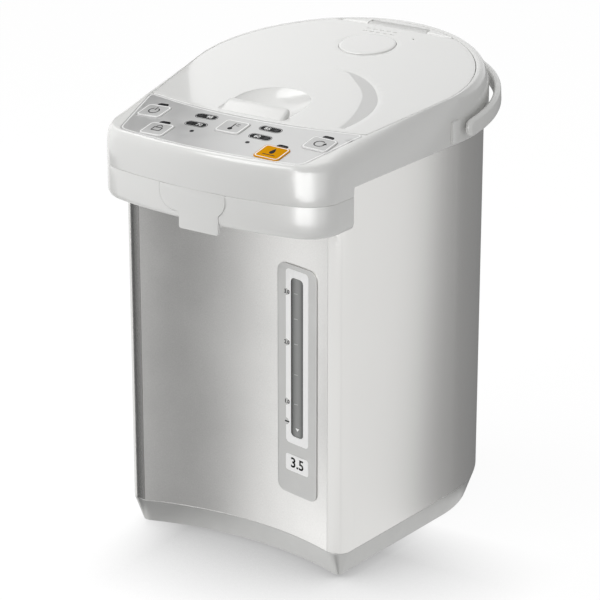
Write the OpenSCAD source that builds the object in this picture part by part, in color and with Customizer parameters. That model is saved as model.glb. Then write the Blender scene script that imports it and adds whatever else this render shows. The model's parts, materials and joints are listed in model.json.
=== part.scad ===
// Electric thermo pot: a 3.5 litre hot water dispenser with an electric pump, a sloping
// control deck, a latched lid hinged at the back and a folding carry handle.
// Millimetres. The pot stands on z = 0 and pours towards -Y.

/* [Body] */
// Radius of the round back of the body
body_r = 100; // [99:0.5:101]
// Distance from the front corners to the centre of the round back
back_y = 134; // [133:0.5:135]
// Inward lean of each side towards the front, in degrees
side_angle = 5.3; // [5:0.1:5.6]
// Radius of the two front corners
corner_r = 9; // [9:0.5:10]
// Half width of the hollowed front panel
panel_half_w = 75.7; // [75:0.1:76]
// How deep the front panel is hollowed for a cup
panel_sag = 13; // [11:0.5:14]
// Height where the base skirt ends and the steel body starts
skirt_top_z = 20.9; // [19:0.1:22]
// How far the skirt leans in at its foot
skirt_inset = 6.6; // [5:0.1:6.6]
// Height of the top edge of the steel body
body_top_z = 284.6; // [284:0.1:284.6]

/* [Head] */
// How far the head stands proud of the body
head_over = 3.1; // [3:0.1:3.2]
// How far the spout head reaches forward of the body
beak_reach = 38; // [37:0.5:39]
// Bow of the front of the spout head
beak_bow = 11.7; // [10:0.1:13]
// Radius of the front corners of the spout head
beak_corner_r = 26; // [24:1:28]
// Underside of the spout head
beak_z = 253.2; // [252:0.2:254]
// Seam between the lower and upper head mouldings
seam_z = 276; // [275:0.5:277]
// Lower edge of the upper head moulding beside the body
ring_z = 282.4; // [282:0.1:283]
// Height of the top face on the centre line at the lid front
deck_z = 311.4; // [311:0.1:312]
// Rise of the lid towards the back, in degrees
lid_slope = 4.46; // [4.2:0.02:4.7]
// Fall of the control deck towards the front, in degrees
deck_slope = 8.53; // [8:0.05:9]

/* [Lid] */
// Radius of the round back of the lid
lid_r = 99.5; // [99:0.1:99.6]
// Distance from the front corners of the body to the centre of the round back of the lid
lid_y = 122; // [121.5:0.1:122.5]
// Inward lean of each side of the lid towards its front, in degrees
lid_angle = 9.9; // [9.6:0.1:10.2]
// Position of the front edge of the lid on the centre line
lid_front_y = 18; // [17.5:0.1:18.5]
// Depth of the skirt of the lid
lid_skirt = 9; // [8:0.5:10]
// Radius of the steam cap
steam_cap_r = 20; // [18:0.5:21]
// Half width of the latch lever
lever_half_w = 26; // [24:0.5:26.5]
// Radius of the finger well behind the latch lever
well_r = 26.5; // [25:0.5:27]

/* [Pot and pump] */
// Inside radius of the water pot
pot_r = 89; // [87:0.5:89]
// Height of the floor of the water pot
pot_floor_z = 82; // [81:0.5:83]
// Radius of the mouth of the water pot
mouth_r = 76; // [75:0.5:77]
// Radius of the pump impeller
impeller_r = 14; // [12:0.5:15]

/* [Controls] */
// Width of a button cap
button_w = 18.8; // [17:0.2:19]
// Depth of a button cap
button_d = 17.4; // [16:0.2:17.6]
// Clearance around each button cap
button_gap = 0.3; // [0.3:0.05:0.5]

/* [Handle] */
// Inside radius of the handle bow
handle_r = 105.2; // [105:0.1:106]
// Thickness of the handle band
handle_t = 5.1; // [4.5:0.1:6]
// Height of the handle band
handle_h = 13; // [12:0.5:14]
// Height of the handle pivots
pivot_z = 292; // [291.5:0.1:292.5]

/* [Hidden] */
$fn = 96;
slack = 0.05;            // radial clearance of a running fit
far = 400;               // longer than anything here
tiny = 0.02;

// colours
white = [0.93, 0.93, 0.92];
silver = [0.72, 0.72, 0.71];
steel = [0.76, 0.75, 0.74];
dark = [0.2, 0.2, 0.21];
green = [0.1, 0.35, 0.2];
rubber = [0.55, 0.55, 0.55];

// plan figures shared by the body outlines
panel_r = (panel_half_w*panel_half_w + panel_sag*panel_sag)/(2*panel_sag);
panel_cy = panel_sag - panel_r;
side_d = body_r - back_y*sin(side_angle);
corner_x = (side_d - corner_r + corner_r*sin(side_angle))/cos(side_angle);
// plan figures of the head
bow_half_w = 88;
bow_r = (bow_half_w*bow_half_w + beak_bow*beak_bow)/(2*beak_bow);
bow_cy = bow_r - beak_reach;
head_d = side_d + head_over;
beak_back_y = 6;
lid_bow_r = bow_cy - lid_front_y;
label_front_y = -33.5;
label_bow_r = bow_cy - label_front_y;
lid_side_d = lid_r - lid_y*sin(lid_angle);
kink_y = 27;
deck_angle = 13.8;
opening_gap = 0.3;
front_gap = 0.5;         // room for the front of the lid to swing up
// top surface: a wide cylinder lying along the slope
crown_r = 1805;
bend_y = 24;
// handle
pivot_y = 138;
handle_slope = 7;
// hinge of the lid
hinge_y = 213;
hinge_half_w = 45.6;
barrel_half_w = 24;
pin_half_w = 33;
barrel_r = 3.5;
hinge_z = deck_z + (hinge_y - bend_y)*tan(lid_slope) - barrel_r;
hinge_pin_r = 1.5;
// steam outlet
steam_y = 171;
// latch
latch_y = 25.6;
latch_z = deck_z - 2.2;
latch_pin_r = 1;
bolt_z = 296;
bolt_h = 4;
// pump
pump_x = 31;
pump_y = 85;
hose_x = 47;
hose_y = 15;
pump_z = 40;
// the part's own frame: its box is centred on y = 0
tab_proud = 0.5;
y_front = -(beak_reach + tab_proud);
y_back = pivot_y + (handle_r + handle_t)*cos(handle_slope) + handle_h/2*sin(handle_slope);
y_mid = (y_front + y_back)/2;

// ---------------------------------------------------------------- outlines
function arc(cx, cy, r, a0, a1, n) =
    [for (i = [0:n]) [cx + r*cos(a0 + (a1 - a0)*i/n), cy + r*sin(a0 + (a1 - a0)*i/n)]];
function mirrored(pts) = [for (i = [len(pts) - 1:-1:0]) [-pts[i][0], pts[i][1]]];
function but_first(pts) = [for (i = [1:len(pts) - 1]) pts[i]];
function but_last(pts) = [for (i = [0:len(pts) - 2]) pts[i]];
// a side line leans by an angle at distance d from the origin
function side_x(d, angle, y) = (d + y*sin(angle))/cos(angle);
// centre of the corner that rounds a side line into the bowed front
function bow_corner(angle, d, bow, r) =
    let (c = d - r, rho = bow - r,
         s = bow_cy*cos(angle)
             - sqrt(pow(bow_cy*cos(angle), 2) - (c*c + 2*c*bow_cy*sin(angle) + bow_cy*bow_cy) + rho*rho))
    [c*cos(angle) + s*sin(angle), -c*sin(angle) + s*cos(angle)];
function bow_angle(p) = atan2(p[1] - bow_cy, p[0]);

// body, moved out by o; its front is hollowed
function body_plan(o) =
    let (x_j = sqrt(pow(panel_r - o, 2) - pow(panel_cy + o, 2)),
         a_j = asin(x_j/(panel_r - o)),
         right = concat(arc(corner_x, corner_r, corner_r + o, -90, -side_angle, 6),
                        arc(0, back_y, body_r + o, -side_angle, 90, 20)))
    concat(arc(0, panel_cy, panel_r - o, 90 + a_j, 90 - a_j, 12), right, but_first(mirrored(right)));

// head, moved out by o; the points match those of the opening one for one
function head_plan(o) =
    let (c = bow_corner(side_angle, head_d, bow_r, beak_corner_r),
         a = bow_angle(c), d = head_d + o,
         right = concat(arc(c[0], c[1], beak_corner_r + o, a, -side_angle, 7),
                        [for (y = [beak_back_y - 0.2, beak_back_y + 0.2, kink_y, 60])
                            [side_x(d, side_angle, y), y]],
                        arc(0, back_y, body_r + head_over + o, -side_angle, 90, 20)))
    concat(but_first(but_last(arc(0, bow_cy, bow_r + o, -180 - a, a, 8))),
           right, but_first(mirrored(right)));

// opening in the head for the deck and the lid
function opening_plan(o) =
    let (d = lid_side_d + o, kink_x = side_x(d, lid_angle, kink_y),
         dd = kink_x*cos(deck_angle) - kink_y*sin(deck_angle),
         c = bow_corner(deck_angle, dd, label_bow_r + o, 8 + o),
         a = bow_angle(c),
         right = concat(arc(c[0], c[1], 8 + o, a, -deck_angle, 7),
                        [for (y = [beak_back_y - 0.2, beak_back_y + 0.2]) [side_x(dd, deck_angle, y), y]],
                        [[kink_x, kink_y], [side_x(d, lid_angle, 60), 60]],
                        arc(0, lid_y, lid_r + o, -lid_angle, 90, 20)))
    concat(but_first(but_last(arc(0, bow_cy, label_bow_r + o, -180 - a, a, 8))),
           right, but_first(mirrored(right)));

// lid, moved out by o
function lid_plan(o) =
    let (c = bow_corner(lid_angle, lid_side_d, lid_bow_r, 4),
         a = bow_angle(c),
         right = concat(arc(c[0], c[1], 4 + max(o, -3.9), a, -lid_angle, 4),
                        arc(0, lid_y, lid_r + o, -lid_angle, 90, 20)),
         front = concat(but_first(but_last(arc(0, bow_cy, lid_bow_r + o, -180 - a, a, 8))), right))
    concat(front, but_first(mirrored(right)));

// height of the top surface
function top_z(p) = deck_z - 2.5*pow(p[0]/95, 2)
    + (p[1] - bend_y)*(p[1] < bend_y ? tan(deck_slope) : tan(lid_slope));

// ---------------------------------------------------------------- helpers
module place() translate([0, -y_mid, 0]) children();
module prism(pts, z0, z1) translate([0, 0, z0]) linear_extrude(z1 - z0) polygon(pts);
module ring_prism(outer, inner, z0, z1)
    difference() {
        prism(outer, z0, z1);
        prism(inner, z0 - 1, z1 + 1);
    }
module block(x0, x1, y0, y1, z0, z1) translate([x0, y0, z0]) cube([x1 - x0, y1 - y0, z1 - z0]);
module tube(r1, r0, z0, z1)
    difference() {
        translate([0, 0, z0]) cylinder(r = r1, h = z1 - z0);
        translate([0, 0, z0 - 1]) cylinder(r = r0, h = z1 - z0 + 2);
    }
// a rod along X from x0 to x1 through (y, z)
module rod_x(r, x0, x1, y, z) translate([x0, y, z]) rotate([0, 90, 0]) cylinder(r = r, h = x1 - x0);
// everything under the crowned surface of a slope, lowered by drop
module under(slope, drop)
    translate([0, bend_y + crown_r*sin(slope), deck_z - crown_r*cos(slope)])
        rotate([slope - 90, 0, 0]) cylinder(r = crown_r - drop, h = 700, center = true, $fn = 720);
module under_lid(drop) under(lid_slope, drop);
module under_deck(drop) under(deck_slope, drop);
// flat frame of the deck or the lid: x across, y up the slope, z square to it
module on_deck() translate([0, bend_y, deck_z]) rotate([deck_slope, 0, 0]) children();
module on_lid() translate([0, bend_y, deck_z]) rotate([lid_slope, 0, 0]) children();
// frame standing square on the crowned deck at a point of its flat frame
module on_crown(p) on_deck() translate([0, 0, -crown_r]) rotate([0, asin(p[0]/crown_r), 0])
    translate([0, p[1], crown_r]) children();
module rounded(w, d, r, h)
    linear_extrude(h) polygon(concat(
        arc(w/2 - r, r - d/2, r, -90, 0, 4), arc(w/2 - r, d/2 - r, r, 0, 90, 4),
        arc(r - w/2, d/2 - r, r, 90, 180, 4), arc(r - w/2, r - d/2, r, 180, 270, 4)));
// skin through a closed loop of rings of equal length
module loop_skin(rings) {
    n = len(rings[0]);
    m = len(rings);
    faces = [for (k = [0:m - 1], i = [0:n - 1])
        let (a = k*n + i, b = k*n + (i + 1)%n, c = ((k + 1)%m)*n + (i + 1)%n, d = ((k + 1)%m)*n + i)
        each [[a, c, b], [a, d, c]]];
    polyhedron([for (r = rings) each r], faces);
}
// skin through stacked outlines [pts, z], closed by flat caps
module stack_skin(levels) {
    n = len(levels[0][0]);
    m = len(levels);
    sides = [for (k = [0:m - 2], i = [0:n - 1])
        let (a = k*n + i, b = k*n + (i + 1)%n, c = (k + 1)*n + (i + 1)%n, d = (k + 1)*n + i)
        each [[a, c, b], [a, d, c]]];
    polyhedron([for (l = levels, p = l[0]) [p[0], p[1], l[1]]],
        concat(sides, [[for (i = [0:n - 1]) i], [for (i = [n - 1:-1:0]) (m - 1)*n + i]]));
}

// ---------------------------------------------------------------- base
foot_spots = [[-52, 32], [52, 32], [-58, 170], [58, 170]];
screw_spots = [[-70, 40], [70, 40], [-72, 150], [72, 150], [0, 214]];
plate_z = 2.2;
plate_t = 3;

module base_skirt() color(silver) place()
    loop_skin([for (l = [[-skirt_inset, 2], [0, skirt_top_z - tiny], [-2.2, skirt_top_z - tiny],
                         [-skirt_inset - 2.2, 2]])
        [for (p = body_plan(l[0])) [p[0], p[1], l[1]]]]);

module base_plate() color(dark) place()
    difference() {
        union() {
            prism(body_plan(-skirt_inset - 2.3), plate_z, plate_z + plate_t);
            for (p = screw_spots) translate([p[0], p[1], plate_z + 1]) cylinder(r = 4.5, h = 18.6);
        }
        for (p = screw_spots) translate([p[0], p[1], 0]) {
            cylinder(r = 1.7, h = far);
            cylinder(r = 3.4, h = plate_z + 2);
        }
        for (p = foot_spots) translate([p[0], p[1], 0]) cylinder(r = 3, h = 10);
    }

module feet() color(rubber) place()
    for (p = foot_spots) translate([p[0], p[1], 0]) {
        cylinder(r = 8, h = plate_z - tiny);
        cylinder(r = 2.95, h = plate_z + plate_t);
    }

module base_screws() color(steel) place()
    for (p = screw_spots) translate([p[0], p[1], 0]) difference() {
        union() {
            translate([0, 0, plate_z + 0.4]) cylinder(r = 3.1, h = 1.5);
            translate([0, 0, plate_z + 1]) cylinder(r = 1.6, h = 21);
        }
        translate([0, 0, plate_z]) for (a = [0, 90]) rotate(a)
            translate([-1.6, -0.3, -1]) cube([3.2, 0.6, 2]);
    }

// floor of the body, with the posts that carry the pot and the pump
post_spots = [for (a = [20, 160, 215, 325]) [78*cos(a), back_y + 78*sin(a)]];
module chassis() color(dark) place()
    difference() {
        union() {
            prism(body_plan(-1.3), 21.9, 24.4);
            for (p = post_spots) translate([p[0], p[1], 24]) cylinder(r = 5, h = pot_floor_z - 25.1);
            translate([pump_x, pump_y, 24]) tube(20, 18, 0, 15.9);
        }
        for (p = screw_spots) translate([p[0], p[1], 10]) cylinder(r = 1.65, h = 20);
        translate([pump_x, pump_y, 10]) cylinder(r = 17, h = 20);
    }

// ---------------------------------------------------------------- body
inlet_z = 45;
module body_jacket() color(steel) place()
    difference() {
        ring_prism(body_plan(0), body_plan(-1), skirt_top_z, body_top_z);
        block(-panel_half_w, panel_half_w, -far, 40, 0, far);
        block(-22, 22, back_y, far, inlet_z - 14, inlet_z + 14);
    }

slot_x0 = 41.4;
slot_x1 = 52.5;
slot_z0 = 95.5;
slot_z1 = 209.8;
spout_z = 270;
module front_panel() color(steel) place()
    difference() {
        intersection() {
            ring_prism(body_plan(0), body_plan(-0.8), skirt_top_z, body_top_z);
            block(0.15 - panel_half_w, panel_half_w - 0.15, -far, 40, 0, far);
        }
        block(slot_x0, slot_x1, -20, 40, slot_z0, slot_z1);
        translate([0, 40, spout_z]) rotate([90, 0, 0]) cylinder(r = 7, h = 60);
    }

module gauge_plate() color(silver) place()
    difference() {
        intersection() {
            ring_prism(body_plan(0.7), body_plan(tiny), 52.5, 218.8);
            block(29.4, 65.4, -far, 40, 0, far);
        }
        block(slot_x0, slot_x1, -20, 40, slot_z0, slot_z1);
    }

module gauge_window() color([0.8, 0.85, 0.88, 0.6]) place()
    intersection() {
        ring_prism(body_plan(0.4), body_plan(-1.2), 0, far);
        block(slot_x0 + 0.1, slot_x1 - 0.1, -far, 40, slot_z0 + 0.1, slot_z1 - 0.1);
    }

module level_tube() color([0.8, 0.85, 0.88, 0.6]) place()
    translate([hose_x, hose_y, 0]) tube(4.6, 3.4, slot_z0 - 8, slot_z1 + 6);

// ---------------------------------------------------------------- pot and heater
wall = 0.8;
pot_wall_top = 258;
pot_rim_z = 284.6;
module inner_pot() color(steel) place()
    translate([0, back_y, 0]) difference() {
        rotate_extrude() polygon([[0, pot_floor_z - wall], [pot_r + wall, pot_floor_z - wall],
            [pot_r + wall, pot_wall_top], [mouth_r + wall, pot_wall_top + 16],
            [mouth_r + wall, pot_rim_z - wall], [pot_r, pot_rim_z - wall], [pot_r, pot_rim_z],
            [mouth_r, pot_rim_z], [mouth_r, pot_wall_top + 16.3], [pot_r, pot_wall_top + 0.3],
            [pot_r, pot_floor_z], [0, pot_floor_z]]);
        translate([pump_x, pump_y - back_y, 0]) cylinder(r = 4, h = 100);
    }

module pot_sleeve() color([0.85, 0.83, 0.78]) place()
    translate([0, back_y, 0]) tube(pot_r + 4, pot_r + wall + 0.3, pot_floor_z + 4, pot_wall_top - 4);

heater_r = 44;
module heater_plate() color(dark) place()
    translate([0, back_y, 0]) tube(heater_r, 10, pot_floor_z - wall - 5, pot_floor_z - wall - 0.1);

module boil_cutout() color(dark) place()
    translate([-28, back_y, 0]) {
        translate([0, 0, 64]) cylinder(r = 8, h = 8);
        translate([0, 0, 72]) cylinder(r = 6, h = 4);
        for (s = [-1, 1]) translate([5*s - 1.5, -0.4, 56]) cube([3, 0.8, 8.1]);
    }

module water_sensor() color(silver) place()
    translate([0, back_y, 0]) {
        translate([0, 0, 66]) cylinder(r = 8, h = pot_floor_z - wall - 66.2);
        translate([0, 0, 60]) cylinder(r = 3, h = 6.1);
    }

module pot_outlet() color(rubber) place()
    translate([pump_x, pump_y, 0]) tube(6, 3.9, pump_z + 18.2, pot_floor_z - wall - 0.1);

// ---------------------------------------------------------------- pump and water path
module pump_housing() color(white) place()
    difference() {
        union() {
            translate([pump_x, pump_y, pump_z]) cylinder(r = 19, h = 16);
            translate([pump_x, pump_y, pump_z + 15]) cylinder(r = 3.8, h = 9);
            translate([hose_x, pump_y, pump_z + 9]) rotate([90, 0, 0]) cylinder(r = 3.8, h = 26);
        }
        translate([pump_x, pump_y, pump_z + 2]) cylinder(r = 17, h = 12);
        translate([pump_x, pump_y, pump_z + 10]) cylinder(r = 2.6, h = 20);
        translate([hose_x, pump_y, pump_z + 9]) rotate([90, 0, 0]) cylinder(r = 2.6, h = 40);
        translate([pump_x, pump_y, pump_z + 1]) cylinder(r = 2 + slack, h = 4);
    }

module impeller() color([0.3, 0.3, 0.32]) place()
    translate([pump_x, pump_y, pump_z]) {
        translate([0, 0, 1.1]) cylinder(r = 2, h = 9);
        translate([0, 0, 3]) cylinder(r = impeller_r, h = 1.6);
        for (i = [0:5]) rotate(60*i) translate([1, -0.6, 4]) cube([impeller_r - 1.5, 1.2, 5]);
    }

module drive_magnet() color([0.25, 0.25, 0.28]) place()
    translate([pump_x, pump_y, 0]) {
        translate([0, 0, 33]) cylinder(r = 13, h = 6);
        translate([0, 0, 27]) cylinder(r = 1.5, h = 6.1);
    }

module pump_motor() color(silver) place()
    translate([pump_x, pump_y, 0]) difference() {
        union() {
            translate([0, 0, 8]) cylinder(r = 16.9, h = 22);
            translate([0, 0, 29]) cylinder(r = 4, h = 2);
        }
        translate([0, 0, 26]) cylinder(r = 1.5 + slack, h = 8);
        for (s = [-1, 1]) translate([17.5*s - 4, -20, 7]) cube([8, 40, 10]);
    }

module riser_hose() color(rubber) place() {
    hose_z = pump_z + 9;
    low = slot_z0 - 3;
    difference() {
        union() {
            translate([hose_x, pump_y - 22, hose_z]) rotate([90, 0, 0])
                cylinder(r = 5.2, h = pump_y - 22 - hose_y);
            translate([hose_x, hose_y, hose_z]) sphere(r = 5.7);
            translate([hose_x, hose_y, hose_z]) cylinder(r = 5.5, h = low - hose_z);
        }
        translate([hose_x, pump_y - 12, hose_z]) rotate([90, 0, 0])
            cylinder(r = 3.85, h = pump_y - 12 - hose_y);
        translate([hose_x, hose_y, hose_z]) cylinder(r = 3.6, h = 60);
        translate([hose_x, hose_y, slot_z0 - 8.1]) cylinder(r = 4.65, h = 60);
    }
}

valve_y = 27;
turn_z = 256;
hose_turn = atan2(hose_y - valve_y, hose_x);
hose_run = norm([hose_x, hose_y - valve_y]);
// a rod from the valve towards the top of the riser
module level_run(r, from_l, to_l) translate([0, valve_y, turn_z]) rotate([0, 90, hose_turn])
    translate([0, 0, from_l]) cylinder(r = r, h = to_l - from_l);
module upper_hose() color(rubber) place()
    difference() {
        union() {
            translate([hose_x, hose_y, slot_z1 + 1]) cylinder(r = 5.5, h = turn_z - slot_z1 - 1);
            translate([hose_x, hose_y, turn_z]) sphere(r = 5.7);
            level_run(5.2, 11.3, hose_run);
        }
        translate([hose_x, hose_y, slot_z1 - 1]) cylinder(r = 4.65, h = 7.1);
        translate([hose_x, hose_y, slot_z1 + 4]) cylinder(r = 3.5, h = turn_z - slot_z1 - 4);
        level_run(3.2, 10, hose_run);
    }

module anti_tip_valve() color(white) place()
    difference() {
        translate([0, valve_y, 246]) cylinder(r = 11, h = 34);
        translate([0, valve_y, 249]) cylinder(r = 8.5, h = 28.5);
        level_run(3.2, 0, 30);
        translate([0, valve_y, spout_z]) rotate([90, 0, 0]) cylinder(r = 4, h = 30);
    }

module valve_ball() color(steel) place() translate([0, valve_y, 256.1]) sphere(r = 7);

nozzle_y = -18;
module spout_pipe() color(white) place()
    difference() {
        union() {
            translate([0, valve_y - 11.2, spout_z]) rotate([90, 0, 0])
                cylinder(r = 5.5, h = valve_y - 11.2 - nozzle_y);
            translate([0, nozzle_y, spout_z]) sphere(r = 5.5);
            translate([0, nozzle_y, 246]) cylinder(r = 5.8, h = spout_z - 246);
        }
        translate([0, valve_y, spout_z]) rotate([90, 0, 0]) cylinder(r = 4, h = valve_y - nozzle_y);
        translate([0, nozzle_y, 240]) cylinder(r = 4.2, h = spout_z - 240);
    }

// ---------------------------------------------------------------- electrics in the base
board_x = -30;
module power_board() color(green) place() block(board_x - 26, board_x + 24, 60, 124, 34, 35.6);

module board_parts() color(dark) place() {
    block(board_x - 22, board_x - 2, 64, 84, 35.62, 51);
    block(board_x + 4, board_x + 16, 66, 78, 35.62, 50);
    for (y = [92, 108]) translate([board_x - 14, y, 35.62]) cylinder(r = 5, h = 14);
    block(board_x, board_x + 20, 94, 102, 35.62, 44);
    for (x = [board_x - 22, board_x + 20], y = [62, 118])
        translate([x, y, 24.42]) cylinder(r = 2, h = 9.56);
}

module power_inlet() color(dark) place()
    difference() {
        union() {
            intersection() {
                translate([0, back_y, 0]) tube(body_r + 2.6, body_r + 0.15, inlet_z - 19, inlet_z + 19);
                block(-27, 27, back_y, far, 0, far);
            }
            intersection() {
                block(-21.5, 21.5, 216, 250, inlet_z - 13.5, inlet_z + 13.5);
                translate([0, back_y, 0]) cylinder(r = body_r + 1.5, h = far);
            }
        }
        block(-17, 17, 223, 250, inlet_z - 9, inlet_z + 9);
        for (s = [-1, 1]) translate([9*s, 230, inlet_z]) rotate([90, 0, 0]) cylinder(r = 2, h = 20);
    }

module inlet_pins() color([0.8, 0.65, 0.3]) place()
    for (s = [-1, 1]) translate([9*s, 230, inlet_z]) rotate([90, 0, 0])
        cylinder(r = 2 - tiny, h = 18);

// ---------------------------------------------------------------- head
// points of the upper moulding, from its outer foot over the shoulder to its inner edge
ring_wall = 3;
outer_pts = head_plan(0);
inner_pts = opening_plan(opening_gap);
function shoulder(p) = 9 + 5*min(1, max(0, p[1])/200);
function across(i, from_outer) =      // a point that far in from the outer wall, if there is room
    let (v = inner_pts[i] - outer_pts[i], w = norm(v)) outer_pts[i] + v*min(1, from_outer/w);
function foot_z(p) = p[1] < beak_back_y ? seam_z + tiny : ring_z;
function shoulder_ring(a) =
    [for (i = [0:len(outer_pts) - 1])
        let (w = norm(inner_pts[i] - outer_pts[i]), s = shoulder(outer_pts[i]), r = min(w - 0.4, s),
             p = across(i, r*(1 - sin(a))), t = across(i, r))
        [p[0], p[1], top_z(t) - s*(1 - cos(a))]];
module head_shell()
    loop_skin(concat(
        [[for (p = outer_pts) [p[0], p[1], foot_z(p)]]],
        [for (a = [90, 68, 45, 22, 0]) shoulder_ring(a)],
        [[for (p = inner_pts) [p[0], p[1], top_z(p)]],
         [for (p = inner_pts) [p[0], p[1], top_z(p) - 2.6]],
         [for (i = [0:len(outer_pts) - 1]) let (p = across(i, ring_wall)) [p[0], p[1], top_z(p) - 9]],
         [for (i = [0:len(outer_pts) - 1])
            let (p = across(i, ring_wall)) [p[0], p[1], foot_z(outer_pts[i])]]]));

module head_ring() color(white) place()
    difference() {
        head_shell();
        for (s = [-1, 1]) rod_x(3 + slack, s > 0 ? 90 : -110, s > 0 ? 110 : -90, pivot_y, pivot_z);
    }

// outline of the part of the head in front of the body
function beak_plan(o) =
    [for (p = head_plan(o)) if (p[1] < beak_back_y) p];
module beak_cover() color(white) place()
    difference() {
        stack_skin([for (l = [[-4, beak_z], [-2, beak_z + 0.8], [-0.6, beak_z + 2.6], [0, beak_z + 5.5],
                              [0, seam_z - 0.08]])
            [beak_plan(l[0]), l[1]]]);
        prism(beak_plan(-2.6), beak_z + 2.5, far);
        prism(body_plan(0.35), 0, far);
        block(-70, 70, 0, 30, beak_z + 2.5, far);
        translate([0, nozzle_y, 200]) cylinder(r = 6.4, h = 90);
        spout_cover_form(0.15, -2.2, 3);
    }

// the plate over the spout: a tongue in the front of the beak with a tab under it
tongue_x0 = -31.3;
tongue_x1 = 20.7;
tongue_r = 12;
tab_half_w = 15.4;
tab_low_z = 247.6;
module spout_cover_form(grow, back, front)
    intersection() {
        ring_prism(head_plan(front), head_plan(back), 0, far);
        translate([0, 0, 0]) rotate([90, 0, 0]) linear_extrude(60) polygon(concat(
            [[tongue_x0 - grow, seam_z + 0.5 + grow]],
            arc(tongue_x0 + tongue_r, 271, tongue_r + grow, 180, 270, 6),
            [[-tab_half_w - grow, 259 - grow], [-tab_half_w - grow, tab_low_z - grow],
             [tab_half_w + grow, tab_low_z - grow]],
            arc(tongue_x1 - tongue_r, 271, tongue_r + grow, 304, 360, 4),
            [[tongue_x1 + grow, seam_z + 0.5 + grow]]));
        block(-60, 60, -60, 0, 0, seam_z - 0.1);
    }
module spout_cover() color(white) place() spout_cover_form(0, -2.05, tab_proud);

// the plate under the control label, with the wall at the front of the lid
deck_t = 3;
label_t = 0.6;
module deck_area(o) difference() {
    prism(opening_plan(o), 240, 340);
    translate([0, bow_cy, 0]) cylinder(r = lid_bow_r + front_gap, h = far, $fn = 360);
}
// [x, y on the deck plane, width, depth] of each button
button_spots = [[-64.3, -20], [-45.3, -43.9], [0.3, -22.4], [66.2, -20], [45.1, -43.9]];
module button_wells()
    for (p = button_spots) on_crown(p) translate([0, 0, -8])
        rounded(button_w + 2*button_gap, button_d + 2*button_gap, 3, 16);
light_spots = [[-64.4, -9.4], [-46.2, -33.3], [66.2, -9.4], [46.2, -33.3]];
dot_spots = [[-29.8, -15], [-29.8, -27.2], [29.8, -15], [29.8, -27.2], [-21.9, -37.2], [21.8, -37.2]];
module light_pegs(grow, h) {
    for (p = light_spots) on_crown(p) translate([0, 0, -4])
        rounded(6.6 + 2*grow, 2 + 2*grow, 0.9 + grow, h + 4);
    for (p = dot_spots) on_crown(p) translate([0, 0, -4])
        cylinder(r = 1.5 + grow, h = h + 4, $fn = 24);
}

module control_deck() color(white) place()
    difference() {
        union() {
            difference() {
                intersection() {
                    deck_area(opening_gap - 0.2);
                    under_deck(label_t);
                }
                under_deck(label_t + deck_t);
            }
            intersection() {
                difference() {
                    translate([0, bow_cy, 289]) cylinder(r = lid_bow_r + 3, h = 30, $fn = 360);
                    translate([0, bow_cy, 280]) cylinder(r = lid_bow_r + front_gap, h = 50, $fn = 360);
                }
                block(-78, 78, 0, 60, 280, 330);
                under_deck(label_t + 1);
            }
        }
        button_wells();
        light_pegs(0.02, 3);
        block(-7.6, 7.6, 0, 20, bolt_z - 0.5, bolt_z + bolt_h + 0.5);
    }

module control_label() color(silver) place()
    difference() {
        intersection() {
            deck_area(opening_gap - 0.3);
            under_deck(0);
        }
        under_deck(label_t - tiny);
        button_wells();
        light_pegs(0.02, 3);
    }

board_drop = 13;
module control_board() color(green) place()
    on_deck() translate([-70, -52, -board_drop - 1.6]) cube([140, 38, 1.6]);

module touch_switches() color(dark) place()
    for (p = button_spots) on_deck() translate([p[0], p[1], tiny - board_drop]) {
        translate([-3, -3, 0]) cube([6, 6, 3.5]);
        translate([0, 0, 3]) cylinder(r = 1.7, h = 1);
    }

// a button cap; its stem ends just above its switch, which stands on the flat board
module button(i, shade) color(shade) place()
    on_crown(button_spots[i]) {
        stem_z = 5 - board_drop + crown_r - sqrt(crown_r*crown_r - pow(button_spots[i][0], 2));
        translate([0, 0, -5]) rounded(button_w, button_d, 2.7, 5.7);
        translate([0, 0, stem_z]) cylinder(r = 2.5, h = -4.9 - stem_z);
    }
module power_button() button(0, silver);
module unlock_button() button(1, silver);
module temp_button() button(2, silver);
module reboil_button() button(3, silver);
module dispense_button() button(4, [0.95, 0.68, 0.1]);

module indicator_lights() color([0.05, 0.05, 0.05]) place() light_pegs(0, 0.1);

// ---------------------------------------------------------------- lid seat and hinge
collar_z = 284.7;
module pot_collar() color(white) place()
    difference() {
        intersection() {
            prism(lid_plan(-0.5), collar_z, 330);
            under_lid(lid_skirt + 2.2);
        }
        difference() {
            prism(lid_plan(-3), collar_z + 2.5, 340);
            block(-hinge_half_w, hinge_half_w, hinge_y + 0.2, far, 0, far);
        }
        block(-9, 9, 0, 24, bolt_z - 1, 340);
        translate([0, back_y, 200]) cylinder(r = mouth_r - 0.5, h = 200);
    }

// fixed half of the hinge: it closes the lid's outline behind the barrel, which it flanks
module hinge_bracket() color(white) place()
    difference() {
        intersection() {
            prism(lid_plan(-0.5), 300, 340);
            under_lid(0.05);
            union() {
                block(-hinge_half_w, hinge_half_w, hinge_y + barrel_r + 0.4, far, 300, 340);
                for (s = [0, 1]) mirror([s, 0, 0]) {
                    rod_x(barrel_r, barrel_half_w + 0.4, hinge_half_w, hinge_y, hinge_z);
                    block(barrel_half_w + 0.4, hinge_half_w, hinge_y, far, 300, 340);
                }
            }
        }
        under_lid(lid_skirt + 2.18);
        rod_x(hinge_pin_r + slack, -pin_half_w - 0.4, pin_half_w + 0.4, hinge_y, hinge_z);
    }

module hinge_pin() color(steel) place()
    rod_x(hinge_pin_r, -pin_half_w, pin_half_w, hinge_y, hinge_z);

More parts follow.
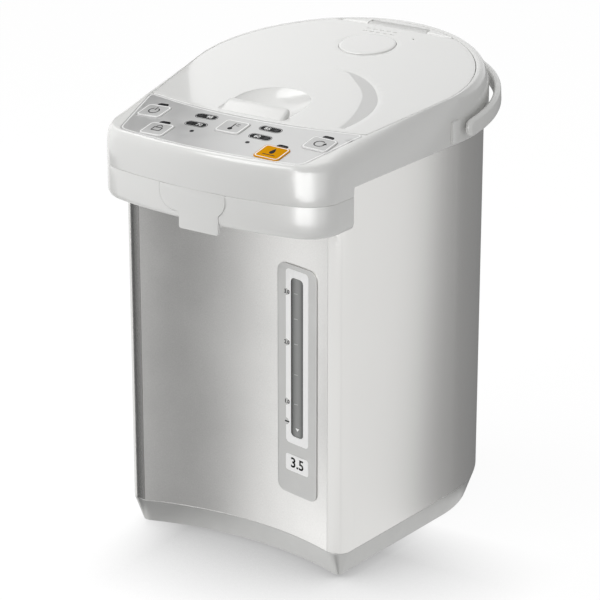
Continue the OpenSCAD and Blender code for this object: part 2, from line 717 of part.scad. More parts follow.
// ---------------------------------------------------------------- lid
lever_y1 = 40;
module well_area(r, grow) {
    translate([0, 48.5, 240]) cylinder(r = r, h = 120);
    block(-r, r, latch_y, 48.5, 240, 360);
    block(-lever_half_w - 0.5 - grow, lever_half_w + 0.5 + grow, latch_y - 2.6 - grow, lever_y1, 240, 360);
}
// room behind the lid for the hinge; the lid's own edge swings clear of the head there
module hinge_notch(gap)
    block(-hinge_half_w - gap, hinge_half_w + gap, hinge_y - barrel_r - 1.3, far, 0, far);

module lid_cover() color(white) place()
    difference() {
        union() {
            difference() {
                intersection() {
                    prism(lid_plan(-0.3), 280, 350);
                    under_lid(0);
                }
                under_lid(lid_skirt);
                intersection() {
                    prism(lid_plan(-3.1), 270, 350);
                    under_lid(3);
                }
                hinge_notch(6);
            }
            difference() {
                intersection() {
                    well_area(well_r + 2, 2);
                    under_lid(0);
                }
                under_lid(10.5);
            }
            rod_x(barrel_r, -barrel_half_w, barrel_half_w, hinge_y, hinge_z);
            block(-barrel_half_w, barrel_half_w, hinge_y - 8, hinge_y, hinge_z - 2.5, hinge_z + 2);
        }
        difference() {
            well_area(well_r, 0);
            under_lid(8.5);
        }
        block(-3.6, 3.6, latch_y - 4.4, latch_y + 8, 290, latch_z - 3.2);
        steam_cap_form(0.3, 30);
        for (x = [-17:5.5:5], y = [195, 200]) block(x - 1.7, x + 1.7, y - 0.8, y + 0.8, 300, 340);
        translate([23, 194.5, 300]) cylinder(r = 0.9, h = 40);
        rod_x(hinge_pin_r + slack, -60, 60, hinge_y, hinge_z);
        rod_x(latch_pin_r, -28.2, 28.2, latch_y, latch_z);
    }

plug_r = 71;
base_z = 291;
module lid_base() color(white) place()
    difference() {
        intersection() {
            prism(lid_plan(-8.2), base_z, 340);
            under_lid(3.15);
        }
        difference() {
            prism(lid_plan(-10.7), base_z + 2.5, 350);
            for (s = [0, 1]) mirror([s, 0, 0]) block(7.6, 9.6, 20, 58, 280, bolt_z + bolt_h);
            block(-7.7, 7.7, 20, 58, 280, bolt_z - 0.2);
            block(-7.7, 7.7, 55, 58, 280, bolt_z + bolt_h);
        }
        difference() {
            well_area(well_r + 2.4, 2.4);
            under_lid(11);
        }
        block(-7.4, 7.4, 0, 32, bolt_z - 0.3, bolt_z + bolt_h + 1.2);
        hinge_notch(3);
        block(-barrel_half_w - 0.5, barrel_half_w + 0.5, hinge_y - 9, far, hinge_z - 3, far);
        translate([0, steam_y, 0]) cylinder(r = 9, h = 330);
    }

module lid_inner_plate() color(steel) place()
    translate([0, back_y, 0]) difference() {
        union() {
            tube(plug_r, plug_r - 1, 279, base_z - tiny);
            translate([0, 0, 279]) cylinder(r = plug_r, h = 1);
        }
        translate([0, steam_y - back_y, 270]) cylinder(r = 5, h = 20);
    }

module lid_gasket() color(rubber) place()
    translate([0, back_y, 0]) difference() {
        translate([0, 0, collar_z + 2.7]) cylinder(r = plug_r + 8, h = base_z - collar_z - 2.7 - tiny);
        translate([0, 0, 280]) cylinder(r = plug_r + tiny, h = 20);
    }

module steam_tube() color(white) place()
    translate([0, steam_y, 0]) difference() {
        translate([0, 0, 280.1]) cylinder(r = 8.8, h = 34.5);
        translate([0, 0, 286]) cylinder(r = 6.5, h = 40);
        translate([0, 0, 270]) cylinder(r = 4.2, h = 40);
    }

module steam_ball() color(steel) place() translate([0, steam_y, 291.2]) sphere(r = 6);

module steam_cap_form(grow, h)
    on_lid() translate([0, steam_y - bend_y, -6]) cylinder(r = steam_cap_r + grow, h = h);
module steam_cap() color(white) place() steam_cap_form(0, 6.5);

// a wedge across the front of the lid, whose arm moves the bolt
module latch_lever() color(white) place()
    difference() {
        translate([0, latch_y, latch_z]) union() {
            rotate([90, 0, 90]) translate([0, 0, -lever_half_w]) linear_extrude(2*lever_half_w)
                polygon(concat(arc(0, 0, 2.2, 260, 110, 6),
                    [for (t = [0.15:0.17:1]) [13.2*t, 2.2 + 5*sin(80*t)*(0.8 + 0.2*t)]],
                    [[13.2, 4.2], [12.6, 2.2], [8, 0.8], [3, -1.2]]));
            translate([-2.5, -1.3, -11.5]) cube([5, 2.6, 11]);
        }
        rod_x(latch_pin_r + slack, -40, 40, latch_y, latch_z);
    }

module latch_pin() color(steel) place() rod_x(latch_pin_r - tiny, -28, 28, latch_y, latch_z);

// pressing the lever down slides the bolt into the wall of the deck, lifting it draws it
module latch_bolt() color(silver) place()
    difference() {
        block(-7, 7, 19.1, 42, bolt_z, bolt_z + bolt_h);
        block(-3.2, 3.2, latch_y - 1.9, latch_y + 1.9, 280, 320);
    }

// ---------------------------------------------------------------- handle
// each end reaches forward of its pivot, to arm_y
arm_r = 6.6;
arm_y = 129;
module handle() color(white) place()
    difference() {
        union() {
            translate([0, pivot_y, pivot_z]) rotate([handle_slope, 0, 0]) intersection() {
                tube(handle_r + handle_t, handle_r, -handle_h/2, handle_h/2);
                translate([-far/2, 0, -far/2]) cube(far);
            }
            for (s = [0, 1]) mirror([s, 0, 0]) {
                for (y = [arm_y, pivot_y])
                    rod_x(arm_r, handle_r - 0.2, handle_r + handle_t - 0.5, y, pivot_z);
                block(handle_r - 0.2, handle_r + handle_t - 0.5, arm_y, pivot_y,
                    pivot_z - arm_r + 0.3, pivot_z + arm_r - 0.3);
            }
        }
        rod_x(3 + slack, -108, 108, pivot_y, pivot_z);
    }

module handle_pivots() color(dark) place()
    for (s = [0, 1]) mirror([s, 0, 0]) {
        rod_x(3, 98.6, 107.6, pivot_y, pivot_z);
        rod_x(4.2, 98.6, 99.9, pivot_y, pivot_z);
    }

module handle_stops() color(white) place()
    intersection() {
        ring_prism(head_plan(2), head_plan(0.04), 284.3, 299.6);
        block(-far/2, far/2, 112, 120, 0, far);
    }

// ---------------------------------------------------------------- parts
base_skirt();
base_plate();
feet();
base_screws();
chassis();
body_jacket();
front_panel();
gauge_plate();
gauge_window();
level_tube();
inner_pot();
pot_sleeve();
heater_plate();
boil_cutout();
water_sensor();
pot_outlet();
pump_housing();
impeller();
drive_magnet();
pump_motor();
riser_hose();
upper_hose();
anti_tip_valve();
valve_ball();
spout_pipe();
power_board();
board_parts();
power_inlet();
inlet_pins();
head_ring();
beak_cover();
spout_cover();
control_deck();
control_label();
control_board();
touch_switches();
power_button();
unlock_button();
temp_button();
reboil_button();
dispense_button();
indicator_lights();
pot_collar();
hinge_bracket();
hinge_pin();
lid_cover();
lid_base();
lid_inner_plate();
lid_gasket();
steam_cap();
steam_tube();
steam_ball();
latch_lever();
latch_pin();
latch_bolt();
handle();
handle_pivots();
handle_stops();
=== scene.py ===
"""Electric thermo pot: the finish of every piece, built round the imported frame.

Sizes are in millimetres, seen from the front plane of the body (y = 0) and the table (z = 0).
"""
import json
import math

import bmesh
import bpy
import numpy as np
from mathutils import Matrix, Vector, geometry


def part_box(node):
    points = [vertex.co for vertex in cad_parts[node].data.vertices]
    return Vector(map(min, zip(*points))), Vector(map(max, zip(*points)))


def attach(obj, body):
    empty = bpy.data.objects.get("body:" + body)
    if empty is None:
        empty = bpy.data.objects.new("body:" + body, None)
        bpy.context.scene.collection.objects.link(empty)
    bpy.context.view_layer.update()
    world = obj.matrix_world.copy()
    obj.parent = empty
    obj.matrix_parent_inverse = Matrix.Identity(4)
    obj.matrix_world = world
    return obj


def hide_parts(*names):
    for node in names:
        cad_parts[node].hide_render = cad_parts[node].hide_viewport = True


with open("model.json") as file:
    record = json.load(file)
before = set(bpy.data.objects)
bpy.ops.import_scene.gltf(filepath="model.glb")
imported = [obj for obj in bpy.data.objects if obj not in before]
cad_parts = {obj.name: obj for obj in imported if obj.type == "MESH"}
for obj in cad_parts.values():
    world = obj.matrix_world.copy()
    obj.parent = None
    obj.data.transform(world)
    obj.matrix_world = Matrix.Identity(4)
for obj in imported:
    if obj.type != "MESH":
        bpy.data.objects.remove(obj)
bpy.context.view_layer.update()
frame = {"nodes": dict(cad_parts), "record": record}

# ------------------------------------------------------------------ camera
# A long lens on a stand, to the right of the pot and a little above its lid.
MM = 0.001
scene = bpy.context.scene
camera_spot = (1.00837, -1.584025, 0.88621)
camera_turn, camera_fall = math.radians(32.83), math.radians(21.325)
camera = bpy.data.objects.new("camera", bpy.data.cameras.new("camera"))
camera.data.lens = 172.53
camera.data.sensor_fit = "HORIZONTAL"
camera.location = camera_spot
camera_line = Vector((-math.sin(camera_turn)*math.cos(camera_fall),
                      math.cos(camera_turn)*math.cos(camera_fall), -math.sin(camera_fall)))
camera.rotation_euler = camera_line.to_track_quat("-Z", "Y").to_euler()
scene.collection.objects.link(camera)
scene.camera = camera

# ------------------------------------------------------------------ base skirt
# Silver plastic ring that the steel body stands in. It leans in to its foot and follows the
# hollow of the front panel; screws from below hold it to the base plate.
front_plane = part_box("body_jacket")[0].y


def spot(x, y, z):
    """A point of the pot, in metres of the frame."""
    return (x*MM, front_plane + y*MM, z*MM)


def box_of(node):
    """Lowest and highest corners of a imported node, in millimetres of the pot."""
    return [np.array((c.x, c.y - front_plane, c.z))/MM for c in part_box(node)]


def arc(cx, cy, radius, start, end, steps):
    turns = np.radians(np.linspace(start, end, steps + 1))
    return [(cx + radius*math.cos(t), cy + radius*math.sin(t)) for t in turns]


def circle(cx, cy, radius, count):
    return arc(cx, cy, radius, 0, 360 - 360/count, count - 1)


def mirrored(points):
    return [(-x, y) for x, y in reversed(points)]


body_radius, back_centre, side_lean = 100, 134, 5.3
corner_radius, panel_half, panel_sag = 9, 75.7, 13
panel_radius = (panel_half**2 + panel_sag**2)/(2*panel_sag)
panel_centre = panel_sag - panel_radius
lean_sin, lean_cos = math.sin(math.radians(side_lean)), math.cos(math.radians(side_lean))
side_reach = body_radius - back_centre*lean_sin
corner_x = (side_reach - corner_radius + corner_radius*lean_sin)/lean_cos


def body_side(out):
    """The right half of the body outline behind its front fold, moved out."""
    return (arc(corner_x, corner_radius, corner_radius + out, -90, -side_lean, 14)
            + arc(0, back_centre, body_radius + out, -side_lean, 90, 60))


def panel_line(out, half):
    """The hollow front of the body, from left to right."""
    radius = panel_radius - out
    reach = math.degrees(math.asin(half/radius))
    return arc(0, panel_centre, radius, 90 + reach, 90 - reach, 48)


def body_plan(out):
    half = math.sqrt((panel_radius - out)**2 - (panel_centre + out)**2)
    side = body_side(out)
    return panel_line(out, half) + side + mirrored(side)[1:]


def filleted(corners, radii, steps=4):
    """A closed outline with each corner rounded by its own radius."""
    made = []
    for i, (corner, radius) in enumerate(zip(corners, radii)):
        here = np.array(corner, float)
        before, after = np.array(corners[i - 1], float), np.array(corners[(i + 1) % len(corners)], float)
        if radius <= 0:
            made.append(tuple(here))
            continue
        a, b = before - here, after - here
        a, b = a/np.linalg.norm(a), b/np.linalg.norm(b)
        half = math.acos(np.clip(a @ b, -1, 1))/2
        centre = here + (a + b)/np.linalg.norm(a + b)*radius/math.sin(half)
        first = here + a*radius/math.tan(half) - centre
        last = here + b*radius/math.tan(half) - centre
        turn = math.atan2(first[0]*last[1] - first[1]*last[0], first @ last)
        for k in range(steps + 1):
            c, s = math.cos(turn*k/steps), math.sin(turn*k/steps)
            made.append((centre[0] + first[0]*c - first[1]*s, centre[1] + first[0]*s + first[1]*c))
    return made


def loft(rings, looped=False, capped=False, closed=True):
    """Bands of faces through rings of points of equal length; looped joins the last to the first."""
    rows, columns = len(rings), len(rings[0])
    faces = [(j*columns + i, j*columns + (i + 1) % columns,
              (j + 1) % rows*columns + (i + 1) % columns, (j + 1) % rows*columns + i)
             for j in range(rows if looped else rows - 1) for i in range(columns if closed else columns - 1)]
    if capped:
        faces += [list(range(columns))[::-1], list(range((rows - 1)*columns, rows*columns))]
    return [p for ring in rings for p in ring], faces


def sweep(profile, plan, closed=True):
    """Carries a closed profile of (out, z) along a plan outline: points and faces."""
    points, faces = loft([[(x, y, z) for x, y in plan(out)] for out, z in profile], True, closed=closed)
    if not closed:
        columns = len(points)//len(profile)
        starts = range(0, len(points), columns)
        faces += [list(starts), [i + columns - 1 for i in reversed(starts)]]
    return points, faces


def build(name, points, faces, material, sharp=35):
    """A piece from points of the pot, its faces turned outwards, smooth but for its sharp edges."""
    mesh = bpy.data.meshes.new(name)
    mesh.from_pydata([spot(*p) for p in points], [], faces)
    shape = bmesh.new()
    shape.from_mesh(mesh)
    bmesh.ops.remove_doubles(shape, verts=shape.verts, dist=1e-7)
    bmesh.ops.dissolve_degenerate(shape, edges=shape.edges, dist=1e-8)
    bmesh.ops.recalc_face_normals(shape, faces=shape.faces)
    shape.to_mesh(mesh)
    shape.free()
    mesh.polygons.foreach_set("use_smooth", [True]*len(mesh.polygons))
    if sharp:
        mesh.set_sharp_from_angle(angle=math.radians(sharp))
    mesh.materials.append(material)
    made = bpy.data.objects.new(name, mesh)
    scene.collection.objects.link(made)
    return made


def node(tree, kind, sockets=(), **settings):
    """A node of a tree; each socket takes a value or another node's output."""
    made = tree.nodes.new(kind)
    for name, value in settings.items():
        setattr(made, name, value)
    for name, value in dict(sockets).items():
        if isinstance(value, bpy.types.NodeSocket):
            tree.links.new(value, made.inputs[name])
        else:
            made.inputs[name].default_value = value
    return made


def shader(tree, kind, sockets=(), **settings):
    return node(tree, "ShaderNode" + kind, sockets, **settings)


def maths(tree, operation, first, second):
    """The result of two values in a shader tree."""
    return shader(tree, "Math", {0: first, 1: second}, operation=operation).outputs[0]


def effect(name, inputs):
    """An empty shader group for a surface's colour, roughness and normal: its tree, inputs and outputs."""
    tree = bpy.data.node_groups.new(name, "ShaderNodeTree")
    for socket, value in inputs.items():
        kind = "NodeSocketColor" if isinstance(value, tuple) else "NodeSocketFloat"
        made = tree.interface.new_socket(socket, in_out="INPUT", socket_type=kind)
        made.default_value = value
    for socket, kind in (("Colour", "Color"), ("Roughness", "Float"), ("Normal", "Vector")):
        tree.interface.new_socket(socket, in_out="OUTPUT", socket_type="NodeSocket" + kind)
    return tree, tree.nodes.new("NodeGroupInput").outputs, tree.nodes.new("NodeGroupOutput").inputs


def finish_effect(tree, out, colour, factor, rough, depth, height):
    """Ends an effect group: its colour times a factor, its roughness, and a bump of some depth."""
    shade = shader(tree, "VectorMath", {0: colour, "Scale": factor}, operation="SCALE")
    bump = shader(tree, "Bump", {"Strength": 1.0, "Distance": depth, "Height": height})
    for socket, result in (("Colour", shade.outputs[0]), ("Roughness", rough), ("Normal", bump.outputs[0])):
        tree.links.new(result, out[socket])
    return tree


def moulded_skin():
    """Plastic from a polished mould: faint flow marks in its shade and gloss, a very fine orange peel."""
    tree, given, out = effect(
        "moulded_skin",
        {"Colour": (0.8, 0.8, 0.8, 1), "Roughness": 0.3, "Drift": 0.03, "Peel Size": 700.0, "Peel": 0.00001})
    place = shader(tree, "TexCoord").outputs["Object"]
    flow = shader(tree, "TexNoise", {"Vector": place, "Scale": 22.0, "Detail": 4.0, "Distortion": 0.6})
    smear = shader(tree, "TexNoise", {"Vector": place, "Scale": 90.0, "Detail": 5.0, "Roughness": 0.6})
    peel = shader(tree, "TexNoise", {"Vector": place, "Scale": given["Peel Size"], "Detail": 2.0})
    drift = maths(tree, "MULTIPLY", maths(tree, "SUBTRACT", flow.outputs["Fac"], 0.5), given["Drift"])
    gloss = shader(tree, "MapRange", {"Value": smear.outputs["Fac"], "From Min": 0.3, "From Max": 0.7,
                                      "To Min": 0.9, "To Max": 1.12})
    rough = maths(tree, "MULTIPLY", given["Roughness"], gloss.outputs[0])
    return finish_effect(tree, out, given["Colour"], maths(tree, "ADD", drift, 1.0), rough,
                         given["Peel"], peel.outputs["Fac"])


moulded_skin_group = moulded_skin()


def bare_material(name):
    """A material with an empty node tree: both."""
    made = bpy.data.materials.new(name)
    made.use_nodes = True
    made.node_tree.nodes.clear()
    return made, made.node_tree


def material_with(name, group, sockets, **surface):
    """A material: a Principled surface fed by an effect group placed with its own values."""
    made, tree = bare_material(name)
    skin = shader(tree, "Group", node_tree=group)
    for socket, value in sockets.items():
        skin.inputs[socket].default_value = value
    face = shader(tree, "BsdfPrincipled", surface)
    for socket, target in (("Colour", "Base Color"), ("Roughness", "Roughness"), ("Normal", "Normal")):
        tree.links.new(skin.outputs[socket], face.inputs[target])
    shader(tree, "OutputMaterial", {"Surface": face.outputs[0]})
    return made


def plastic(name, colour, roughness, drift=0.03, peel=0.00001, peel_size=700.0, **surface):
    """Moulded plastic of a colour."""
    return material_with(name, moulded_skin_group,
                         {"Colour": (*colour, 1), "Roughness": roughness, "Drift": drift,
                          "Peel": peel, "Peel Size": peel_size}, **surface)


silver_plastic = plastic("silver_plastic", (0.51, 0.51, 0.5), 0.36, drift=0.05, peel=0.000012,
                         peel_size=1500.0, Metallic=0.7)
skirt_low, skirt_high = box_of("base_skirt")
skirt_inset, skirt_wall = 6.6, 2.2
skirt_profile = filleted(
    [(-skirt_inset, skirt_low[2]), (0, skirt_high[2]), (-skirt_wall, skirt_high[2]),
     (-skirt_inset - skirt_wall, skirt_low[2])], [0.9, 0.5, 0.3, 0.3])
base_skirt = build("base_skirt_ring", *sweep(skirt_profile, body_plan), silver_plastic)
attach(base_skirt, "pot")
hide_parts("base_skirt")

# ------------------------------------------------------------------ base, pot and works
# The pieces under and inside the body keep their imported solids: base plate, feet and screws, the
# steel pot with its heater, pump, hoses, valve, boards, the lid's inside and the hinge.


def brushed_steel():
    """Rolled steel: fine streaks along one axis that bend the light, and cloudy gloss."""
    tree, given, out = effect(
        "brushed_steel",
        {"Colour": (0.7, 0.7, 0.7, 1), "Roughness": 0.3, "Across": 900.0, "Along": 12.0, "Depth": 0.000004,
         "Cloud": 0.06})
    place = shader(tree, "TexCoord").outputs["Object"]
    scale = shader(tree, "CombineXYZ", {"X": given["Across"], "Y": given["Across"], "Z": given["Along"]})
    stretched = shader(tree, "VectorMath", {0: place, 1: scale.outputs[0]}, operation="MULTIPLY")
    streak = shader(tree, "TexNoise", {"Vector": stretched.outputs[0], "Scale": 1.0, "Detail": 3.0})
    cloud = shader(tree, "TexNoise", {"Vector": place, "Scale": 14.0, "Detail": 3.0, "Distortion": 0.4})
    mix = maths(tree, "ADD", streak.outputs["Fac"], cloud.outputs["Fac"])
    amount = maths(tree, "MULTIPLY", maths(tree, "SUBTRACT", mix, 1.0), given["Cloud"])
    factor = maths(tree, "ADD", amount, 1.0)
    return finish_effect(tree, out, given["Colour"], factor, maths(tree, "MULTIPLY", given["Roughness"], factor),
                         given["Depth"], streak.outputs["Fac"])


brushed_steel_group = brushed_steel()


def metal(name, colour, roughness, across=900.0, along=12.0, depth=0.000004, cloud=0.06, **surface):
    """Rolled or brushed metal of a colour."""
    return material_with(name, brushed_steel_group,
                         {"Colour": (*colour, 1), "Roughness": roughness, "Across": across,
                          "Along": along, "Depth": depth, "Cloud": cloud}, **surface)


white_plastic = plastic("white_plastic", (0.80, 0.80, 0.785), 0.24, drift=0.02, **{"Coat Weight": 0.25})
finishes = {
    "white_plastic": white_plastic,
    "silver_plastic": silver_plastic,
    "dark_plastic": plastic("dark_plastic", (0.05, 0.05, 0.052), 0.42, drift=0.2, peel=0.00003, peel_size=2200.0),
    "rubber": plastic("rubber", (0.25, 0.25, 0.25), 0.62, drift=0.15, peel=0.00004, peel_size=1600.0),
    "screw_steel": metal("screw_steel", (0.55, 0.54, 0.52), 0.32, Metallic=1.0),
    "pot_steel": metal("pot_steel", (0.66, 0.65, 0.63), 0.2, across=60.0, along=1500.0, Metallic=1.0),
    "insulation": plastic("insulation", (0.62, 0.58, 0.5), 0.95, drift=0.3, peel=0.0003, peel_size=900.0),
    "heater_aluminium": metal("heater_aluminium", (0.6, 0.6, 0.6), 0.45, cloud=0.2, Metallic=1.0),
    "magnet": metal("magnet", (0.12, 0.12, 0.13), 0.5, cloud=0.3, Metallic=0.6),
    "circuit_board": plastic("circuit_board", (0.02, 0.16, 0.07), 0.35, drift=0.4, peel=0.00002),
    "contact_brass": metal("contact_brass", (0.78, 0.56, 0.24), 0.25, Metallic=1.0),
    "light_lens": plastic("light_lens", (0.01, 0.01, 0.012), 0.3, drift=0.2, **{"Specular IOR Level": 0.2}),
    "clear_plastic": plastic("clear_plastic", (0.72, 0.74, 0.74), 0.12, Alpha=0.3)}
for part in frame["record"]["subparts"]:
    shown = frame["nodes"].get(part["node"])
    if shown and part["material_slot"] in finishes:
        shown.data.materials.clear()
        shown.data.materials.append(finishes[part["material_slot"]])

# ------------------------------------------------------------------ steel body
# One sheet of satin steel wrapped round the sides and the back, its front edges folded in to
# the hollow panel; a square opening at the back takes the mains inlet.


def cut(piece, *cutters):
    """Takes the cutters' shapes out of a piece for good and removes the cutters."""
    for cutter in cutters:
        trim = piece.modifiers.new("cut", "BOOLEAN")
        trim.object, trim.solver = cutter, "EXACT"
    bake(piece)
    for cutter in cutters:
        bpy.data.objects.remove(cutter)


def bake(piece, sharp=35):
    """Turns a piece's modifiers into its mesh."""
    view = bpy.context.evaluated_depsgraph_get()
    view.update()
    mesh = bpy.data.meshes.new_from_object(piece.evaluated_get(view), depsgraph=view)
    piece.modifiers.clear()
    piece.data = mesh
    mesh.polygons.foreach_set("use_smooth", [True]*len(mesh.polygons))
    mesh.set_sharp_from_angle(angle=math.radians(sharp))


def block(name, low, high, material):
    """A box between two corners."""
    corners = [(x, y, z) for x in (low[0], high[0]) for y in (low[1], high[1]) for z in (low[2], high[2])]
    faces = [(0, 1, 3, 2), (4, 6, 7, 5), (0, 4, 5, 1), (2, 3, 7, 6), (0, 2, 6, 4), (1, 5, 7, 3)]
    return build(name, corners, faces, material)


body_steel = metal("body_steel", (0.72, 0.715, 0.70), 0.27, across=700.0, along=9.0, depth=0.0000012,
                   cloud=0.03, Metallic=1.0)
jacket_low, jacket_high = box_of("body_jacket")
jacket_wall = 1.0
inlet_half, inlet_low, inlet_high, past_back = 22, 31, 59, 400
jacket_profile = filleted([(0, jacket_low[2]), (0, jacket_high[2]), (-jacket_wall, jacket_high[2]),
                           (-jacket_wall, jacket_low[2])], [0.45, 0, 0, 0.3])


def jacket_plan(out):
    side = [(panel_half, -out)] + body_side(out)
    return side + mirrored(side)[1:]


body_jacket = build("steel_jacket", *sweep(jacket_profile, jacket_plan, closed=False), body_steel)
cut(body_jacket, block("inlet_cutter", (-inlet_half, back_centre, inlet_low),
                       (inlet_half, past_back, inlet_high), body_steel))
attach(body_jacket, "pot")
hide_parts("body_jacket")

# ------------------------------------------------------------------ front panel
# A second sheet of the same steel, hollowed so that a cup or jug fits under the spout. Its satin
# is coarser than the jacket's. A slot behind the gauge shows the level tube.
panel_steel = metal("panel_steel", (0.74, 0.735, 0.72), 0.36, across=1500.0, along=1500.0, depth=0.000012,
                    cloud=0.26, Metallic=0.95)
panel_low, panel_high = box_of("front_panel")
panel_wall, panel_gap = 0.8, 0.15
slot_low, slot_high, slot_round = (41.4, 95.5), (52.5, 209.8), 3
panel_profile = filleted([(0, panel_low[2]), (0, panel_high[2]), (-panel_wall, panel_high[2]),
                          (-panel_wall, panel_low[2])], [0.4, 0, 0, 0.2])
front_panel = build("hollow_panel", *sweep(
    panel_profile, lambda out: panel_line(out, panel_half - panel_gap), closed=False), panel_steel)
pipe_z, pipe_hole = 270, 7
cut_front, cut_back = -20, 40
pipe_cutter = build("pipe_cutter", *loft([[(x, y, z) for x, z in circle(0, pipe_z, pipe_hole, 24)]
                                          for y in (cut_front, cut_back)], capped=True), panel_steel)
cut(front_panel, pipe_cutter, block("slot_cutter", (slot_low[0], cut_front, slot_low[1]),
                                    (slot_high[0], cut_back, slot_high[1]), panel_steel))
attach(front_panel, "pot")
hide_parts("front_panel")

# ------------------------------------------------------------------ water gauge
# A silver plate riveted over the panel's slot, a white frame and scale printed on it, and a
# clear window over the glass tube that stands level with the water.


def inside(points, loops):
    """Which points lie inside the first loop and outside the others (even and odd crossings)."""
    points = np.asarray(points, float)
    odd = np.zeros(len(points), bool)
    for loop in loops:
        a = np.asarray(loop, float)
        b = np.roll(a, -1, axis=0)
        for (x0, y0), (x1, y1) in zip(a, b):
            if y0 == y1:
                continue
            crosses = (points[:, 1] < y0) != (points[:, 1] < y1)
            at = x0 + (points[:, 1] - y0)*(x1 - x0)/(y1 - y0)
            odd ^= crosses & (points[:, 0] < at)
    return odd


def filling(loops, spacing=0):
    """Triangles that fill a flat outline with holes; a grid of extra points lets it follow a curve."""
    rim = [tuple(map(float, p)) for loop in loops for p in loop]
    edges, start = [], 0
    for loop in loops:
        edges += [(start + i, start + (i + 1) % len(loop)) for i in range(len(loop))]
        start += len(loop)
    grid = []
    if spacing:
        low, high = np.min(rim, axis=0), np.max(rim, axis=0)
        xs, ys = (np.arange(low[k] + spacing/2, high[k], spacing) for k in (0, 1))
        grid = np.array([(x, y) for x in xs for y in ys])
        if len(grid):
            grid = grid[inside(grid, loops)]
        if len(grid):
            far = np.full(len(grid), 1e9)
            for loop in loops:
                a = np.array(loop, float)
                d = np.roll(a, -1, axis=0) - a
                for p, v in zip(a, d):
                    t = np.clip((grid - p) @ v/max(v @ v, 1e-12), 0, 1)
                    far = np.minimum(far, np.linalg.norm(grid - p - t[:, None]*v, axis=1))
            grid = grid[far > 0.4*spacing]
    points = [Vector(p) for p in rim] + [Vector(p) for p in grid]
    found, _, faces, from_points, _, _ = geometry.delaunay_2d_cdt(points, edges, [], 0, 1e-7)
    centres = [sum((found[i] for i in face), Vector((0, 0)))/len(face) for face in faces]
    kept = inside([tuple(c) for c in centres], loops)
    place = {}
    for new, old in enumerate(from_points):
        for i in old:
            place[i] = new
    rims, start = [], 0
    for loop in loops:
        rims.append([place[start + i] for i in range(len(loop))])
        start += len(loop)
    return [tuple(p) for p in found], [f for f, k in zip(faces, kept) if k], rims


def slab(loops, lower, upper, spacing=0):
    """A thin solid over a flat outline with holes, between two surfaces: points and faces."""
    flat, faces, rims = filling(loops, spacing)
    count = len(flat)
    points = [lower(*p) for p in flat] + [upper(*p) for p in flat]
    made = [tuple(reversed(f)) for f in faces] + [tuple(i + count for i in f) for f in faces]
    for rim in rims:
        for i, here in enumerate(rim):
            after = rim[(i + 1) % len(rim)]
            made.append((here, after, after + count, here + count))
    return points, made


def rounded_box(low, high, radius, steps=6):
    """The outline of a box between two corners, rounded."""
    (x0, z0), (x1, z1) = low, high
    return filleted([(x0, z0), (x1, z0), (x1, z1), (x0, z1)], [radius]*4, steps)


def on_panel(out):
    """The hollow panel's surface, moved out, for a point across and up."""
    return lambda x, z: (x, panel_centre + math.sqrt((panel_radius - out)**2 - x*x), z)


def join(pieces):
    """Several point and face lists as one mesh."""
    points, faces = [], []
    for some_points, some_faces in pieces:
        faces += [tuple(i + len(points) for i in face) for face in some_faces]
        points += some_points
    return points, faces


def soften(piece, width, steps=2, angle=40):
    """Rounds a piece's sharp edges."""
    edge = piece.modifiers.new("rounded edges", "BEVEL")
    edge.width, edge.segments = width*MM, steps
    edge.limit_method, edge.angle_limit = "ANGLE", math.radians(angle)
    edge.use_clamp_overlap = True
    bake(piece)


plate_low, plate_high = box_of("gauge_plate")
plate_corner, plate_out = 6.5, 0.7
plate_outline = rounded_box(plate_low[::2], plate_high[::2], plate_corner)
slot_outline = rounded_box(slot_low, slot_high, slot_round)
gauge_silver = plastic("gauge_silver", (0.55, 0.55, 0.54), 0.34, drift=0.08, peel=0.000006, peel_size=2500.0,
                       Metallic=0.6)
gauge_plate = build("gauge_backplate", *slab([plate_outline, slot_outline], on_panel(0.02),
                                             on_panel(plate_out), 4), gauge_silver)
soften(gauge_plate, 0.25)
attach(gauge_plate, "pot")
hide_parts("gauge_plate")

ink_thickness = 0.06
white_ink = plastic("white_ink", (0.97, 0.97, 0.965), 0.3, drift=0.02)
black_ink = plastic("black_ink", (0.008, 0.008, 0.009), 0.4, drift=0.3, **{"Specular IOR Level": 0.0})
frame_low, frame_high = (36.9, 90), (57.4, 215.5)
capacity_low, capacity_high = (36.7, 69.4), (57.5, 81.6)
litres_z = {"3.0": 198.6, "2.0": 162.5, "1.0": 119.5}
low_mark_z, bump_radius = 105, 2.6
bumps = [arc(frame_low[0], z, bump_radius, -90, 90, 12) for z in (*litres_z.values(), low_mark_z)]


def on_ink(layers):
    """The gauge plate's surface over some layers of print."""
    return on_panel(plate_out + layers*ink_thickness)


white_outlines = [[rounded_box(frame_low, frame_high, 3), slot_outline],
                  [rounded_box(capacity_low, capacity_high, 1.8)]]
gauge_frame = build("gauge_frame_print", *join([slab(loops, on_ink(0), on_ink(1), 4)
                                                for loops in white_outlines]), white_ink)
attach(gauge_frame, "pot")
bump_print = build("gauge_scale_bumps", *join([slab([b], on_ink(1), on_ink(2)) for b in bumps]), gauge_silver)
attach(bump_print, "pot")


